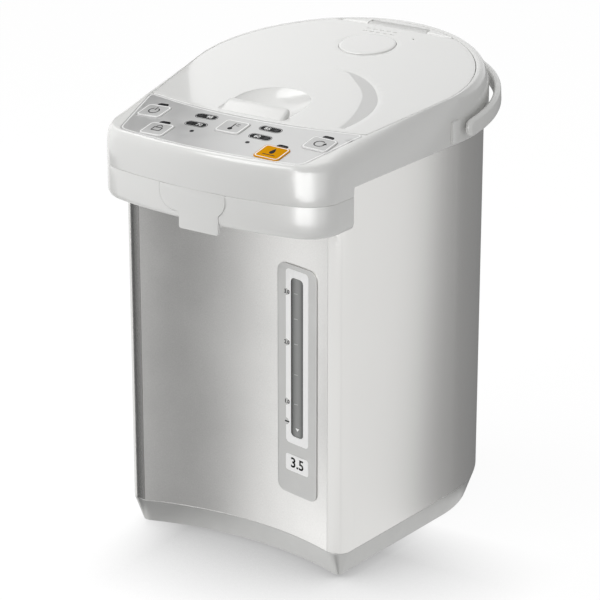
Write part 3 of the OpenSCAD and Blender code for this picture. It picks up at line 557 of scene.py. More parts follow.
def lettering(text, size, boldness=0.0):
    """The outlines of a few characters as flat triangles, centred: points and faces."""
    curve = bpy.data.curves.new("characters", "FONT")
    curve.body, curve.size, curve.offset = text, size, boldness
    curve.align_x, curve.align_y = "CENTER", "CENTER"
    curve.resolution_u = 3
    holder = bpy.data.objects.new("characters", curve)
    scene.collection.objects.link(holder)
    view = bpy.context.evaluated_depsgraph_get()
    view.update()
    mesh = bpy.data.meshes.new_from_object(holder.evaluated_get(view), depsgraph=view)
    shape = bmesh.new()
    shape.from_mesh(mesh)
    bmesh.ops.remove_doubles(shape, verts=shape.verts, dist=1e-4)
    points = [(v.co.x, v.co.y) for v in shape.verts]
    faces = [tuple(v.index for v in f.verts) for f in shape.faces]
    shape.free()
    bpy.data.objects.remove(holder)
    bpy.data.curves.remove(curve)
    bpy.data.meshes.remove(mesh)
    return points, faces


def print_on(flat, move, low, high):
    """Flat print carried to a surface as a thin solid: move places a flat point on the surface's plan."""
    points, faces = flat
    count = len(points)
    placed = [move(*p) for p in points]
    sides = {}
    for face in faces:
        for a, b in zip(face, face[1:] + face[:1]):
            sides[(a, b)] = True
    walls = [(a, b, b + count, a + count) for a, b in sides if (b, a) not in sides]
    return ([low(*p) for p in placed] + [high(*p) for p in placed],
            [tuple(reversed(f)) for f in faces] + [tuple(i + count for i in f) for f in faces] + walls)


number_size, number_x = 3.9, 37.8
capacity_size, capacity_spot = 10.2, (47.1, 75.5)
numbers = [print_on(lettering(text, number_size, 0.08), lambda a, b, z=z: (number_x + a, z + b),
                    on_ink(1), on_ink(3)) for text, z in litres_z.items()]
numbers.append(print_on(lettering("3.5", capacity_size, 0.2),
                        lambda a, b: (capacity_spot[0] + a, capacity_spot[1] + b), on_ink(1), on_ink(2)))
low_mark = rounded_box((36, low_mark_z - 0.5), (39.8, low_mark_z + 0.5), 0.3, 2)
numbers.append(slab([low_mark], on_ink(1), on_ink(3)))
gauge_numbers = build("gauge_numbers", *join(numbers), black_ink, sharp=20)
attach(gauge_numbers, "pot")

# the window stands a little proud; its colour carries a painted tube: painted shade at its sides and a painted
# highlight in the middle


def tube_shade():
    """Painted light of the round tube behind the window: painted shade towards its sides and a painted highlight down
    its middle, with faint streaks along it.
    """
    tree, given, out = effect(
        "tube_shade", {"Colour": (0.4, 0.405, 0.4, 1), "Sides": 0.15, "Middle": 0.047, "Half": 0.0056,
                       "Roughness": 0.25})
    place = shader(tree, "TexCoord").outputs["Object"]
    off = maths(tree, "SUBTRACT", shader(tree, "SeparateXYZ", {"Vector": place}).outputs["X"], given["Middle"])
    part = maths(tree, "DIVIDE", off, given["Half"])
    shade = shader(tree, "MapRange", {"Value": maths(tree, "MULTIPLY", part, part), "To Min": 1.0,
                                      "To Max": given["Sides"]})
    stretched = shader(tree, "VectorMath", {0: place, 1: (2500.0, 2500.0, 40.0)}, operation="MULTIPLY")
    streak = shader(tree, "TexNoise", {"Vector": stretched.outputs[0], "Scale": 1.0, "Detail": 3.0})
    drift = shader(tree, "MapRange", {"Value": streak.outputs["Fac"], "To Min": 0.9, "To Max": 1.1})
    return finish_effect(tree, out, given["Colour"], maths(tree, "MULTIPLY", shade.outputs[0], drift.outputs[0]),
                         maths(tree, "MULTIPLY", given["Roughness"], drift.outputs[0]), 0.000004,
                         streak.outputs["Fac"])


window_gap = 0.1
window_outline = rounded_box([c + window_gap for c in slot_low], [c - window_gap for c in slot_high],
                             slot_round - window_gap)
# the window's colour is the painted tube: painted shade at its sides, painted highlight in the middle
clear_window = material_with("clear_window", tube_shade(), {"Roughness": 0.25}, **{
    "Alpha": 0.75, "Specular IOR Level": 0.2})
gauge_window = build("gauge_clear_window", *slab([window_outline], on_panel(-1.2), on_panel(0.4), 3), clear_window)
soften(gauge_window, 0.3)
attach(gauge_window, "pot")
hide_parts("gauge_window")

# marks up the window in two evenly stepped runs, wider apart in the lower one


def geometry_tree(name, **inputs):
    """An empty geometry node tree with named inputs of metres, counts or a material."""
    tree = bpy.data.node_groups.new(name, "GeometryNodeTree")
    kinds = {float: "NodeSocketFloat", int: "NodeSocketInt"}
    for socket, value in inputs.items():
        made = tree.interface.new_socket(socket, in_out="INPUT",
                                         socket_type=kinds.get(type(value), "NodeSocketMaterial"))
        if value is not None:
            made.default_value = value
    tree.interface.new_socket("Mesh", in_out="OUTPUT", socket_type="NodeSocketGeometry")
    return tree, tree.nodes.new("NodeGroupInput").outputs, tree.nodes.new("NodeGroupOutput").inputs["Mesh"]


def from_tree(name, tree, material, sharp=35, **values):
    """A piece made by a geometry tree with its own values, then kept as a plain mesh."""
    piece = bpy.data.objects.new(name, bpy.data.meshes.new(name))
    scene.collection.objects.link(piece)
    maker = piece.modifiers.new("made by nodes", "NODES")
    maker.node_group = tree
    for item in tree.interface.items_tree:
        if item.in_out == "INPUT":
            given = material if item.name == "Material" else values.get(item.name, item.default_value)
            maker[item.identifier] = given
    bake(piece, sharp)
    if not piece.data.materials:
        piece.data.materials.append(material)
    return piece


def finish_tree(tree, given, out, geometry_socket):
    """Ends a geometry tree: instances made real, with the piece's material."""
    real = node(tree, "GeometryNodeRealizeInstances", {0: geometry_socket})
    dressed = node(tree, "GeometryNodeSetMaterial", {"Geometry": real.outputs[0], "Material": given["Material"]})
    tree.links.new(dressed.outputs[0], out)


def tick_ladder():
    tree, given, out = geometry_tree("tick_ladder", Material=None, Width=0.005, Height=0.0006, Depth=0.0002,
                                     Count=5, Step=0.0196, X=0.047, Y=0.0, Z=0.1)
    size = node(tree, "ShaderNodeCombineXYZ", {"X": given["Width"], "Y": given["Depth"], "Z": given["Height"]})
    mark = node(tree, "GeometryNodeMeshCube", {"Size": size.outputs[0]})
    start = node(tree, "ShaderNodeCombineXYZ", {"X": given["X"], "Y": given["Y"], "Z": given["Z"]})
    step = node(tree, "ShaderNodeCombineXYZ", {"Z": given["Step"]})
    line = node(tree, "GeometryNodeMeshLine", {"Count": given["Count"], "Start Location": start.outputs[0],
                                               "Offset": step.outputs[0]})
    marks = node(tree, "GeometryNodeInstanceOnPoints", {"Points": line.outputs[0], "Instance": mark.outputs[0]})
    finish_tree(tree, given, out, marks.outputs[0])
    return tree


tick_x, tick_tree = 47, tick_ladder()
tick_ink = plastic("tick_ink", (0.5, 0.5, 0.5), 0.4, drift=0.1)
tick_y = on_panel(0.42)(tick_x, 0)[1]
tick_runs = (("upper", 163, 18, 3), ("lower", litres_z["1.0"], 21.5, 2))
for name, lowest, step, number in tick_runs:
    ticks = from_tree("gauge_" + name + "_ticks", tick_tree, tick_ink, Width=5*MM, Height=0.5*MM, Depth=0.08*MM,
                      Count=number, Step=step*MM, X=tick_x*MM, Y=front_plane + tick_y*MM, Z=lowest*MM)
    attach(ticks, "pot")
arrow_outline = [(tick_x - 1.6, 101.9), (tick_x + 1.6, 101.9), (tick_x, 99.7)]
low_arrow = build("gauge_low_arrow", *slab([arrow_outline], on_panel(0.38), on_panel(0.46)), white_ink)
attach(low_arrow, "pot")

# ------------------------------------------------------------------ spout head
# The lower moulding of the head: a white bowed housing that carries the nozzle over the cup. Its
# edge against the upper moulding is a fine seam; a plate with a tab snaps into its front.


def side_x(reach, lean, y):
    """Where a side that leans by some degrees stands at y, from its distance to the centre."""
    return (reach + y*math.sin(math.radians(lean)))/math.cos(math.radians(lean))


head_over, beak_reach, beak_bow, beak_corner, bow_half = 3.1, 38, 11.7, 26, 88
bow_radius = (bow_half**2 + beak_bow**2)/(2*beak_bow)
bow_centre = bow_radius - beak_reach
head_reach = side_reach + head_over
seam_z, beak_back = 276, 6
front_steps, corner_steps, round_steps = 64, 16, 72
side_rows = (5.8, 6.2, 10, 14, 18, 21, 24, 27, 30, 34, 42, 60)


def bow_corner(lean, reach, bow, radius):
    """Centre of the arc that rounds a leaning side into a bowed front."""
    turn = math.radians(lean)
    c, rho = reach - radius, bow - radius
    s = bow_centre*math.cos(turn) - math.sqrt((bow_centre*math.cos(turn))**2 - (
        c*c + 2*c*bow_centre*math.sin(turn) + bow_centre**2) + rho*rho)
    return c*math.cos(turn) + s*math.sin(turn), -c*math.sin(turn) + s*math.cos(turn)


def bowed(bow, corner, radius, lean, side, back):
    """A closed outline: bowed front, rounded corners, given side points and round back."""
    turn = math.degrees(math.atan2(corner[1] - bow_centre, corner[0]))
    right = arc(*corner, radius, turn, -lean, corner_steps) + side + back
    return arc(0, bow_centre, bow, -180 - turn, turn, front_steps)[1:-1] + right + mirrored(right)[1:]


def head_plan(out):
    """Outline of the whole head, moved out."""
    corner = bow_corner(side_lean, head_reach, bow_radius, beak_corner)
    side = [(side_x(head_reach + out, side_lean, y), y) for y in side_rows]
    return bowed(bow_radius + out, corner, beak_corner + out, side_lean, side,
                 arc(0, back_centre, body_radius + head_over + out, -side_lean, 90, round_steps))


def on_bow(out):
    """The head's bowed front, moved out, for a point across and up."""
    return lambda x, z: (x, bow_centre - math.sqrt((bow_radius + out)**2 - x*x), z)


def beak_plan(out):
    return [p for p in head_plan(out) if p[1] < beak_back]


def stack(levels):
    """A closed solid through outlines at their heights, one above the other."""
    return loft([[(x, y, z) for x, y in plan] for plan, z in levels], capped=True)


def quarter(reach, rise, steps):
    """Steps round a quarter ellipse, from its foot to its side: (out, up)."""
    return [(reach*(math.cos(t) - 1), rise*(1 - math.sin(t)))
            for t in np.radians(np.linspace(90, 0, steps + 1))]


beak_low, beak_high = box_of("beak_cover")
beak_wall, beak_floor, edge_round = 2.6, 2.5, 0.35
levels = [(beak_plan(out), beak_low[2] + up) for out, up in quarter(4, 5.5, 8)]
levels += [(beak_plan(-out), beak_high[2] - up) for out, up in
           ((0, edge_round), (0.3*edge_round, 0.3*edge_round), (edge_round, 0))]
beak = build("spout_housing", *stack(levels), white_plastic)
nozzle_y, nozzle_clear = -18, 6.4
tongue_left, tongue_right, tongue_round, tongue_z, tab_half, tab_low = -31.3, 20.7, 12, 271, 15.4, 247.6
tab_proud, tongue_gap, tab_round = 0.5, 0.3, 1.6
body_clear, cut_low, cut_high = 0.35, 230, 320
lip_out, lip_in, lip_low, lip_high, lip_drop = 0.9, 0.3, -0.2, 0.3, 0.4


def tongue_outline(grow, top):
    """The plate over the spout seen from the front: a tongue and the narrower tab under it."""
    radius, centre = tongue_round + grow, tongue_right - tongue_round
    meet = -math.degrees(math.acos((tab_half + grow - centre)/radius))
    tab = filleted([(-tab_half - grow, tongue_z - radius), (-tab_half - grow, tab_low - grow),
                    (tab_half + grow, tab_low - grow), (tab_half + grow, tongue_z - 8)], [0, tab_round, tab_round, 0])
    return ([(tongue_left - grow, top)] + arc(tongue_left + tongue_round, tongue_z, radius, 180, 270, 10) + tab[:-1]
            + arc(centre, tongue_z, radius, meet, 0, 8) + [(tongue_right + grow, top)])


hollow = [p for p in head_plan(-beak_wall) if p[1] < side_rows[7]]
beak_hollow = build("beak_hollow", *stack([(hollow, z) for z in (beak_low[2] + beak_floor, cut_high)]), white_plastic)
body_cutter = build("body_cutter", *stack([(body_plan(body_clear), z) for z in (cut_low, cut_high)]), white_plastic)
nozzle_cutter = build("nozzle_cutter", *stack([(circle(0, nozzle_y, nozzle_clear, 36), z)
                                               for z in (cut_low, 290)]), white_plastic)
tongue_cutter = build("tongue_cutter", *slab([tongue_outline(tongue_gap, seam_z + 2)], on_bow(-2.2),
                                             on_bow(3), 4), white_plastic)
cut(beak, beak_hollow, body_cutter, nozzle_cutter, tongue_cutter)
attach(beak, "pot")
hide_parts("beak_cover")

spout_plate = build("spout_plate", *slab([tongue_outline(0, seam_z - 0.1)], on_bow(-2.05), on_bow(tab_proud), 3),
                    white_plastic)
soften(spout_plate, 0.8, 4)
wide, narrow = (tongue_outline(grow, seam_z - lip_drop) for grow in (lip_out, lip_in))
tongue_lip = build("tongue_recess_lip", *join([
    slab([wide[run] + narrow[run][::-1]], on_bow(lip_low), on_bow(lip_high), 4)
    for run in (slice(0, 12), slice(-10, None))]), white_plastic)
soften(tongue_lip, 0.22, 3)
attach(tongue_lip, "pot")
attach(spout_plate, "pot")
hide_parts("spout_cover")

# ------------------------------------------------------------------ upper head moulding
# One white glossy ring from the beak round the lid: straight outer wall, rounded shoulder and a
# narrow top that falls to the opening for the deck and the lid.
deck_z, bend_y, lid_rise, deck_fall, crown_radius = 311.4, 24, 4.46, 8.53, 1805
lid_radius, lid_centre, lid_lean, lid_front = 99.5, 122, 9.9, 18
lid_bow = bow_centre - lid_front
label_bow = bow_centre + 33.5
lid_reach = lid_radius - lid_centre*math.sin(math.radians(lid_lean))
kink_y, deck_lean, opening_gap = 27, 13.8, 0.2
ring_z, ring_wall = 282.4, 3


def opening_plan(out):
    """Outline of the opening in the head, moved out; its points match the head's one for one."""
    reach = lid_reach + out
    kink_x, turn = side_x(reach, lid_lean, kink_y), math.radians(deck_lean)
    deck_reach = kink_x*math.cos(turn) - kink_y*math.sin(turn)
    corner = bow_corner(deck_lean, deck_reach, label_bow + out, 8 + out)
    side = [(side_x(deck_reach, deck_lean, y) if y <= kink_y else side_x(reach, lid_lean, y), y)
            for y in side_rows]
    return bowed(label_bow + out, corner, 8 + out, deck_lean, side,
                 arc(0, lid_centre, lid_radius + out, -lid_lean, 90, round_steps))


def crown(x):
    """How far the crowned top falls to each side."""
    return x*x/(2*crown_radius)


def top(x, y, ease=2.0):
    """Height of the top: the deck's slope eased into the lid's."""
    low, high = math.tan(math.radians(deck_fall)), math.tan(math.radians(lid_rise))
    along = y - bend_y
    return deck_z - crown(x) + (low + high)/2*along - (low - high)/2*math.sqrt(along*along + ease*ease)


outer, inner = np.array(head_plan(0)), np.array(opening_plan(opening_gap))
width = np.linalg.norm(inner - outer, axis=1)


def across(distance):
    """Points a distance in from the ring's outer wall, towards the opening, where there is room."""
    return outer + (inner - outer)*np.minimum(1, distance/width)[:, None]


def ring_level(place, height):
    return [(x, y, z) for (x, y), z in zip(place, height)]


foot = np.where(outer[:, 1] < beak_back, seam_z + 0.02, ring_z)
shoulder = 9 + 5*np.clip(outer[:, 1]/200, 0, 1)
shoulder_in = np.minimum(width - 0.4, shoulder)
shoulder_deep = 1.4*shoulder
shoulder_top = np.array([top(*p) for p in across(shoulder_in)]) - shoulder_deep
inner_top = np.array([top(*p) for p in inner])
lip = 0.3
ring_levels = [ring_level(across(lip), foot), ring_level(across(0.3*lip), foot + 0.3*lip)]
ring_levels += [ring_level(outer, foot + lip)]
for turn in np.radians(np.linspace(90, 0, 15)):
    ring_levels.append(ring_level(across(shoulder_in*(1 - math.sin(turn))),
                                  shoulder_top + shoulder_deep*math.cos(turn)))
ring_levels += [ring_level(across(width - lip*(1 - c)), inner_top - lip*(1 - s))
                for c, s in ((0, 1), (0.7, 0.7), (1, 0))]
ring_levels += [ring_level(inner, inner_top - 2.6),
                ring_level(across(ring_wall), [top(*p) - 9 for p in across(ring_wall)]),
                ring_level(across(ring_wall), foot)]
head_gloss = plastic("head_gloss", (0.80, 0.80, 0.785), 0.2, drift=0.02, **{"Coat Weight": 0.3})
head_ring = build("upper_head_ring", *loft(ring_levels, looped=True), head_gloss)
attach(head_ring, "pot")
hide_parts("head_ring")

# ------------------------------------------------------------------ control label
# A silver film over the deck with a pale band round its rim, a painted highlight for the ring's inner edge; printed
# with dark ovals with the four keep-warm temperatures, and a sign on each button. The lights are small black lenses.
label_thickness, lid_gap = 0.6, 0.5


def on_top(out):
    """The crowned top, moved out, for a point across and back."""
    return lambda x, y: (x, y, top(x, y) + out)


def offset(outline, inset):
    """A closed outline that runs one way round, moved in along its corners' bisectors."""
    points = np.array(outline, float)
    before, after = points - np.roll(points, 1, axis=0), np.roll(points, -1, axis=0) - points
    before, after = (d/np.linalg.norm(d, axis=1)[:, None] for d in (before, after))
    area = np.sum(points[:, 0]*np.roll(points[:, 1], -1) - points[:, 1]*np.roll(points[:, 0], -1))
    sides = [np.stack([-d[:, 1], d[:, 0]], 1)*(1 if area > 0 else -1) for d in (before, after)]
    bisector = sides[0] + sides[1]
    return [tuple(p) for p in points + bisector*(2*inset/np.sum(bisector**2, axis=1))[:, None]]


label_rear = lid_bow + lid_gap


def meet_side():
    """Where the label's side meets the front of the lid."""
    y = kink_y
    for _ in range(30):
        x = side_x(lid_reach, lid_lean, y)
        y = bow_centre - math.sqrt(label_rear**2 - x*x)
    return x, y


horn = meet_side()
horn_turn = math.degrees(math.atan2(horn[1] - bow_centre, horn[0]))
front_arc = opening_plan(0)[:front_steps - 1]
right_side = [p for p in opening_plan(0)[front_steps - 1:] if p[0] > 0 and p[1] < kink_y - 1]
rear_arc = arc(0, bow_centre, label_rear, horn_turn, -180 - horn_turn, 60)[2:-2]
label_outline = front_arc + right_side + [horn] + rear_arc + [(-horn[0], horn[1])] + mirrored(right_side)
horn_round = [0 if abs(x) < horn[0] - 0.01 else 3 for x, y in label_outline]
label_outline = filleted(label_outline, horn_round, 6)
label_silver = plastic("label_silver", (0.65, 0.65, 0.645), 0.36, drift=0.06, peel=0.000008, peel_size=3000.0,
                       Metallic=0.6)
button_grow, button_round = 0.25, 2.7
button_spots = {"power_button": (-64.3, -20), "unlock_button": (-45.3, -43.9), "temp_button": (0.3, -22.4),
                "reboil_button": (66.2, -20), "dispense_button": (45.1, -43.9)}
button_width, button_depth, cap_rise = 18.8, 17.4, 0.7


def on_deck(at, a, b, h):
    """A point of a button's own flat frame, standing square on the crowned deck."""
    turn, fall = math.asin(at[0]/crown_radius), math.radians(deck_fall)
    x = a*math.cos(turn) + (crown_radius + h)*math.sin(turn)
    y = at[1] + b
    z = -a*math.sin(turn) + (crown_radius + h)*math.cos(turn) - crown_radius
    return (x, bend_y + y*math.cos(fall) - z*math.sin(fall), deck_z + y*math.sin(fall) + z*math.cos(fall))


def square(half_x, half_y, radius, steps=6):
    return filleted([(-half_x, -half_y), (half_x, -half_y), (half_x, half_y), (-half_x, half_y)], [radius]*4, steps)


well = square(button_width/2 + button_grow + 0.05, button_depth/2 + button_grow + 0.05, button_round + 0.3)
wells = [[on_deck(at, a, b, 0)[:2] for a, b in well] for at in button_spots.values()]
label = build("control_film", *slab([label_outline, *wells], on_top(-label_thickness + 0.05), on_top(0), 6),
              label_silver)
soften(label, 0.12, 1, 60)
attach(label, "pot")
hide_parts("control_label")


def band(outline, width, closed=True):
    """A printed line of a width along a path, as an outline with or without its hole."""
    if closed:
        return [offset(outline, -width/2), offset(outline, width/2)]
    path = np.array(outline, float)
    along = np.gradient(path, axis=0)
    along /= np.linalg.norm(along, axis=1)[:, None]
    across_path = np.stack([-along[:, 1], along[:, 0]], 1)*width/2
    start = math.degrees(math.atan2(-along[0][1], -along[0][0]))
    end = math.degrees(math.atan2(along[-1][1], along[-1][0]))
    left, right = path + across_path, path - across_path
    cap_end = arc(*path[-1], width/2, end - 90, end + 90, 6)[1:-1]
    cap_start = arc(*path[0], width/2, start - 90, start + 90, 6)[1:-1]
    return [[tuple(p) for p in right] + cap_end + [tuple(p) for p in left[::-1]] + cap_start]


dark_print = plastic("dark_print", (0.02, 0.02, 0.021), 0.45, drift=0.2, **{"Specular IOR Level": 0.05})
oval_half, oval_depth, oval_x, oval_rows = 8.6, 3.5, 25.3, (9.4, -2.9)
ovals = [(side*oval_x, y) for y in oval_rows for side in (-1, 1)]
light_spots = [(-64.4, 14.9), (-46.2, -8.7), (66.2, 14.9), (46.2, -8.7)]


def oval_at(centre, half_x, half_y, radius):
    """The outline of an oval on the label."""
    return [(centre[0] + x, centre[1] + y) for x, y in square(half_x, half_y, radius, 8)]


dark_ovals = [slab([oval_at(c, oval_half, oval_depth, oval_depth - 0.01)], on_top(0), on_top(0.04), 4)
              for c in ovals]
light_rims = build("light_surrounds", *join([slab([oval_at(c, 4.1, 2.2, 2.1)], on_top(0.01), on_top(0.05))
                                             for c in light_spots]), black_ink, sharp=20)
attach(light_rims, "pot")
oval_print = build("temperature_ovals", *join(dark_ovals), dark_print, sharp=20)
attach(oval_print, "pot")
# pale ink for the print, also used for the painted highlight round the label's rim
pale_ink_and_painted_highlight = plastic("pale_ink_and_painted_highlight", (0.93, 0.93, 0.92), 0.35, drift=0.03)
oval_line, digit_size, digit_inward, rim_highlight_inset, rim_highlight_width = 0.6, 4.6, 2.4, 1.2, 0.8
pale_parts = [slab(band(oval_at(c, oval_half - oval_line, oval_depth - oval_line, oval_depth - oval_line - 0.01),
                        0.25), on_top(0.04), on_top(0.06)) for c in ovals]
pale_parts += [print_on(lettering(text, digit_size, 0.04),
                        lambda a, b, c=c: (c[0] - math.copysign(digit_inward, c[0]) + a, c[1] + b),
                        on_top(0.04), on_top(0.07)) for text, c in zip(("98", "85", "70", "60"), ovals)]
# painted highlight: a pale band just inside the label's rim, for the ring's inner edge catching the light
pale_parts.append(slab(band(offset(label_outline, rim_highlight_inset), rim_highlight_width), on_top(0), on_top(0.04)))
pale_figures = build("label_ink_and_rim_highlight", *join(pale_parts), pale_ink_and_painted_highlight, sharp=20)
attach(pale_figures, "pot")

# ------------------------------------------------------------------ buttons
# Five caps that press 0.8 mm: silver for power, lock, temperature and reboil, orange for pouring.
# Each has a printed rim line and a plain sign; the edge of the cap is softly rounded.
button_grey = plastic("button_grey", (0.56, 0.56, 0.555), 0.38, drift=0.05, peel=0.000008, peel_size=3000.0,
                      Metallic=0.3)
button_orange = plastic("button_orange", (0.70, 0.31, 0.006), 0.4, drift=0.05, peel=0.000008, peel_size=3000.0,
                        **{"Specular IOR Level": 0.0})


def drop(cx, cy, size):
    """A drop of water, pointed at its top."""
    return [(cx + size*0.62*math.sin(t)*math.sin(t/2)**1.3, cy + size*math.cos(t))
            for t in np.linspace(0, 2*math.pi, 28, endpoint=False)]


signs = {
    "power_button": [band(arc(0, 0, 3.6, 120, 420, 28), 0.8, False), band([(0, 1.2), (0, 4.8)], 0.8, False)],
    "unlock_button": [band(square(3.2, 2.2, 0.5), 0.8),
                      band([(-1.9, 2.4)] + arc(0, 3.4, 1.9, 180, 20, 10), 0.7, False)],
    "temp_button": [band([(0, -1.8), (0, 4.4)], 0.9, False), [arc(0, -3, 1.7, 0, 345, 20)],
                    band([(1.9, 4), (3.8, 4)], 0.7, False), band([(1.9, 2), (3.8, 2)], 0.7, False)],
    "reboil_button": [band(arc(0, 0, 3.6, 60, 360, 28), 0.8, False),
                      [[(3.6 - 1.6, 0.1), (3.6 + 1.6, 0.1), (3.6, 2.5)]]],
    "dispense_button": [[drop(0, 1.6, 3.8)], band([(-4.4, -3.9), (4.4, -3.9)], 0.8, False)]}
for name, at in button_spots.items():
    finish = button_orange if name == "dispense_button" else button_grey
    half_x, half_y = button_width/2 + button_grow, button_depth/2 + button_grow
    cap_rows = [(0.45, cap_rise), (0.2, cap_rise - 0.06), (0.05, cap_rise - 0.22), (0, cap_rise - 0.5),
                (0, -4.9)]
    outlines = [(square(half_x - inset, half_y - inset, button_round + button_grow - inset), h)
                for inset, h in reversed(cap_rows)]
    flat_points, cap_faces = stack(outlines)
    cap = build(name + "_cap", [on_deck(at, *p) for p in flat_points], cap_faces, finish)
    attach(cap, name)
    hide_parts(name)
    on_cap = [lambda a, b, h=h, at=at: on_deck(at, a, b, cap_rise + h) for h in (0, 0.04)]
    rim_line = band(square(half_x - 1.1, half_y - 1.1, button_round - 0.6), 0.8)
    rim = build(name + "_rim_line", *slab(rim_line, *on_cap), pale_ink_and_painted_highlight, sharp=20)
    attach(rim, name)
    sign = build(name + "_sign", *join([slab(loops, *on_cap) for loops in signs[name]]), dark_print, sharp=20)
    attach(sign, name)

# ------------------------------------------------------------------ lid
# White glossy cover with a rounded rim, hinged at the back. A round well behind the latch lets a
# finger in under the lever; a shallow crescent is moulded into its right side, its floor skinned in a darker satin
# grey as painted shade.
lid_skirt, lid_wall, lid_under = 9, 2.8, 3
rim_round = 0.5
notch_y, steam_y, steam_radius = 208.2, 171, 20
well_radius, well_centre, well_front, well_depth = 26.5, 48.5, 23, 8.3


def lid_plan(out):
    corner = bow_corner(lid_lean, lid_reach, lid_bow, 4)
    side = [(side_x(lid_reach + out, lid_lean, y), y) for y in (45, 60, 75, 90)]
    return bowed(lid_bow + out, corner, 4 + max(out, -3.9), lid_lean, side,
                 arc(0, lid_centre, lid_radius + out, -lid_lean, 90, 96))


def lid_top(x, y):
    """Height of the lid's crowned surface."""
    return deck_z - crown(x) + (y - bend_y)*math.tan(math.radians(lid_rise))


def at_rear(outline):
    """The lid's outline cut straight in front of the hinge."""
    kept = [p for p in outline if p[1] < notch_y - 0.4]
    half = next(i for i in range(len(kept)) if kept[i][0] > 0 and kept[i + 1][0] < 0 and kept[i][1] > 100)
    edge_x = math.sqrt((lid_radius - 0.2)**2 - (notch_y - lid_centre)**2)
    rear = [(x, notch_y) for x in np.linspace(edge_x, -edge_x, 13)]
    return kept[:half + 1] + rear + kept[half + 1:]


def level_of(outline, drop_by):
    return [(x, y, lid_top(x, y) - drop_by) for x, y in outline]


def sheet(loops, drop_by, spacing=6):
    """The lid's surface over a flat outline with holes, lowered."""
    flat, faces, _ = filling(loops, spacing)
    return level_of(flat, drop_by), faces


lid_outline = at_rear(lid_plan(-0.2))
well_outline = (filleted([(-well_radius, well_centre), (-well_radius, well_front), (well_radius, well_front),
                          (well_radius, well_centre)], [0, 3, 3, 0], 6)[1:-1])
well_outline = ([(-well_radius, y) for y in (42, 36, 30)] + well_outline
                + [(well_radius, y) for y in (30, 36, 42)]
                + arc(0, well_centre, well_radius, 0, 180, 56))
lid_spot = bend_y + (steam_y - bend_y)*math.cos(math.radians(lid_rise))
vent_hole = circle(0, lid_spot, steam_radius + 0.3, 96)
slot_rows, slot_columns, slot_half, slot_depth = (195, 200), (-17, -11.5, -6, -0.5, 5), 1.7, 0.8
slots = [[(x + a, y + b) for a, b in square(slot_half, slot_depth, 0.75, 4)]
         for y in slot_rows for x in slot_columns]
pin_hole = circle(23, 194.5, 0.9, 16)
crescent_outer = [(3.7, 121), (12, 121.6), (19.3, 120.4), (30, 116.5), (39.8, 110.4), (49, 102.3),
                  (56.7, 93), (62.6, 84), (66.5, 74.5), (69.2, 64), (70, 52.6), (69.4, 42), (67.7, 31.6)]
crescent_inner = [(62.6, 30.5), (61.4, 43), (58.7, 55.7), (55.6, 66), (51.7, 75.8), (48, 83.6),
                  (43.4, 90.5), (37, 98), (29.8, 104.8), (22.6, 111.6), (15, 118)]


def smoothed(path, steps):
    """A smooth curve through open path points."""
    path = np.array(path, float)
    reach = np.concatenate([[0], np.cumsum(np.linalg.norm(np.diff(path, axis=0), axis=1))])
    slope = np.gradient(path, reach, axis=0)
    made = []
    for t in np.linspace(0, reach[-1], steps):
        i = min(np.searchsorted(reach, t, side="right") - 1, len(reach) - 2)
        h = reach[i + 1] - reach[i]
        u = (t - reach[i])/h
        made.append(tuple((2*u**3 - 3*u**2 + 1)*path[i] + (u**3 - 2*u**2 + u)*h*slope[i]
                          + (3*u**2 - 2*u**3)*path[i + 1] + (u**3 - u**2)*h*slope[i + 1]))
    return made


crescent = (smoothed(crescent_outer, 40) + smoothed(crescent_inner, 40))[::-1]
relief_edge, relief_depth = 1.2, 0.5
crescent_floor = offset(crescent, relief_edge)


def relief(x, y, extra=0.0):
    """A point of the crescent's floor, which falls from its inner edge to its outer one."""
    near, far = (min(math.dist((x, y), p) for p in smoothed(path, 60))
                 for path in (crescent_inner, crescent_outer))
    return (x, y, lid_top(x, y) - 0.1 - relief_depth*near/(near + far) + extra)


well_lip = 0.25
well_wide = offset(well_outline, -well_lip)
hole_lip = 0.2
wide_vent = offset(vent_hole, -hole_lip)
parts = [sheet([offset(lid_outline, rim_round), well_wide, wide_vent, *slots, pin_hole, crescent], 0, 5)]
rim_rings = [level_of(offset(lid_outline, rim_round*(1 - math.sin(t))), rim_round*(1 - math.cos(t)))
             for t in np.radians(np.linspace(0, 90, 6))]
under_outline = offset(lid_outline, lid_wall)
rim_rings += [level_of(lid_outline, lid_skirt - 0.3), level_of(offset(lid_outline, 0.3), lid_skirt),
              level_of(offset(lid_outline, lid_wall - 0.2), lid_skirt), level_of(under_outline, lid_under)]
parts.append(loft(rim_rings))
well_cup = offset(well_outline, -2)
parts.append(sheet([under_outline, well_cup, vent_hole, *slots, pin_hole], lid_under, 12))
parts.append(loft([level_of(wide_vent, 0), level_of(offset(vent_hole, -0.3*hole_lip), 0.3*hole_lip),
                   level_of(vent_hole, hole_lip), level_of(vent_hole, lid_under)]))
for hole in (*slots, pin_hole):
    parts.append(loft([level_of(hole, 0), level_of(hole, lid_under)]))
parts.append(loft([level_of(crescent, 0), [relief(*p) for p in crescent_floor]]))
floor_points, floor_faces, _ = filling([crescent_floor], 4)
parts.append(([relief(*p) for p in floor_points], floor_faces))
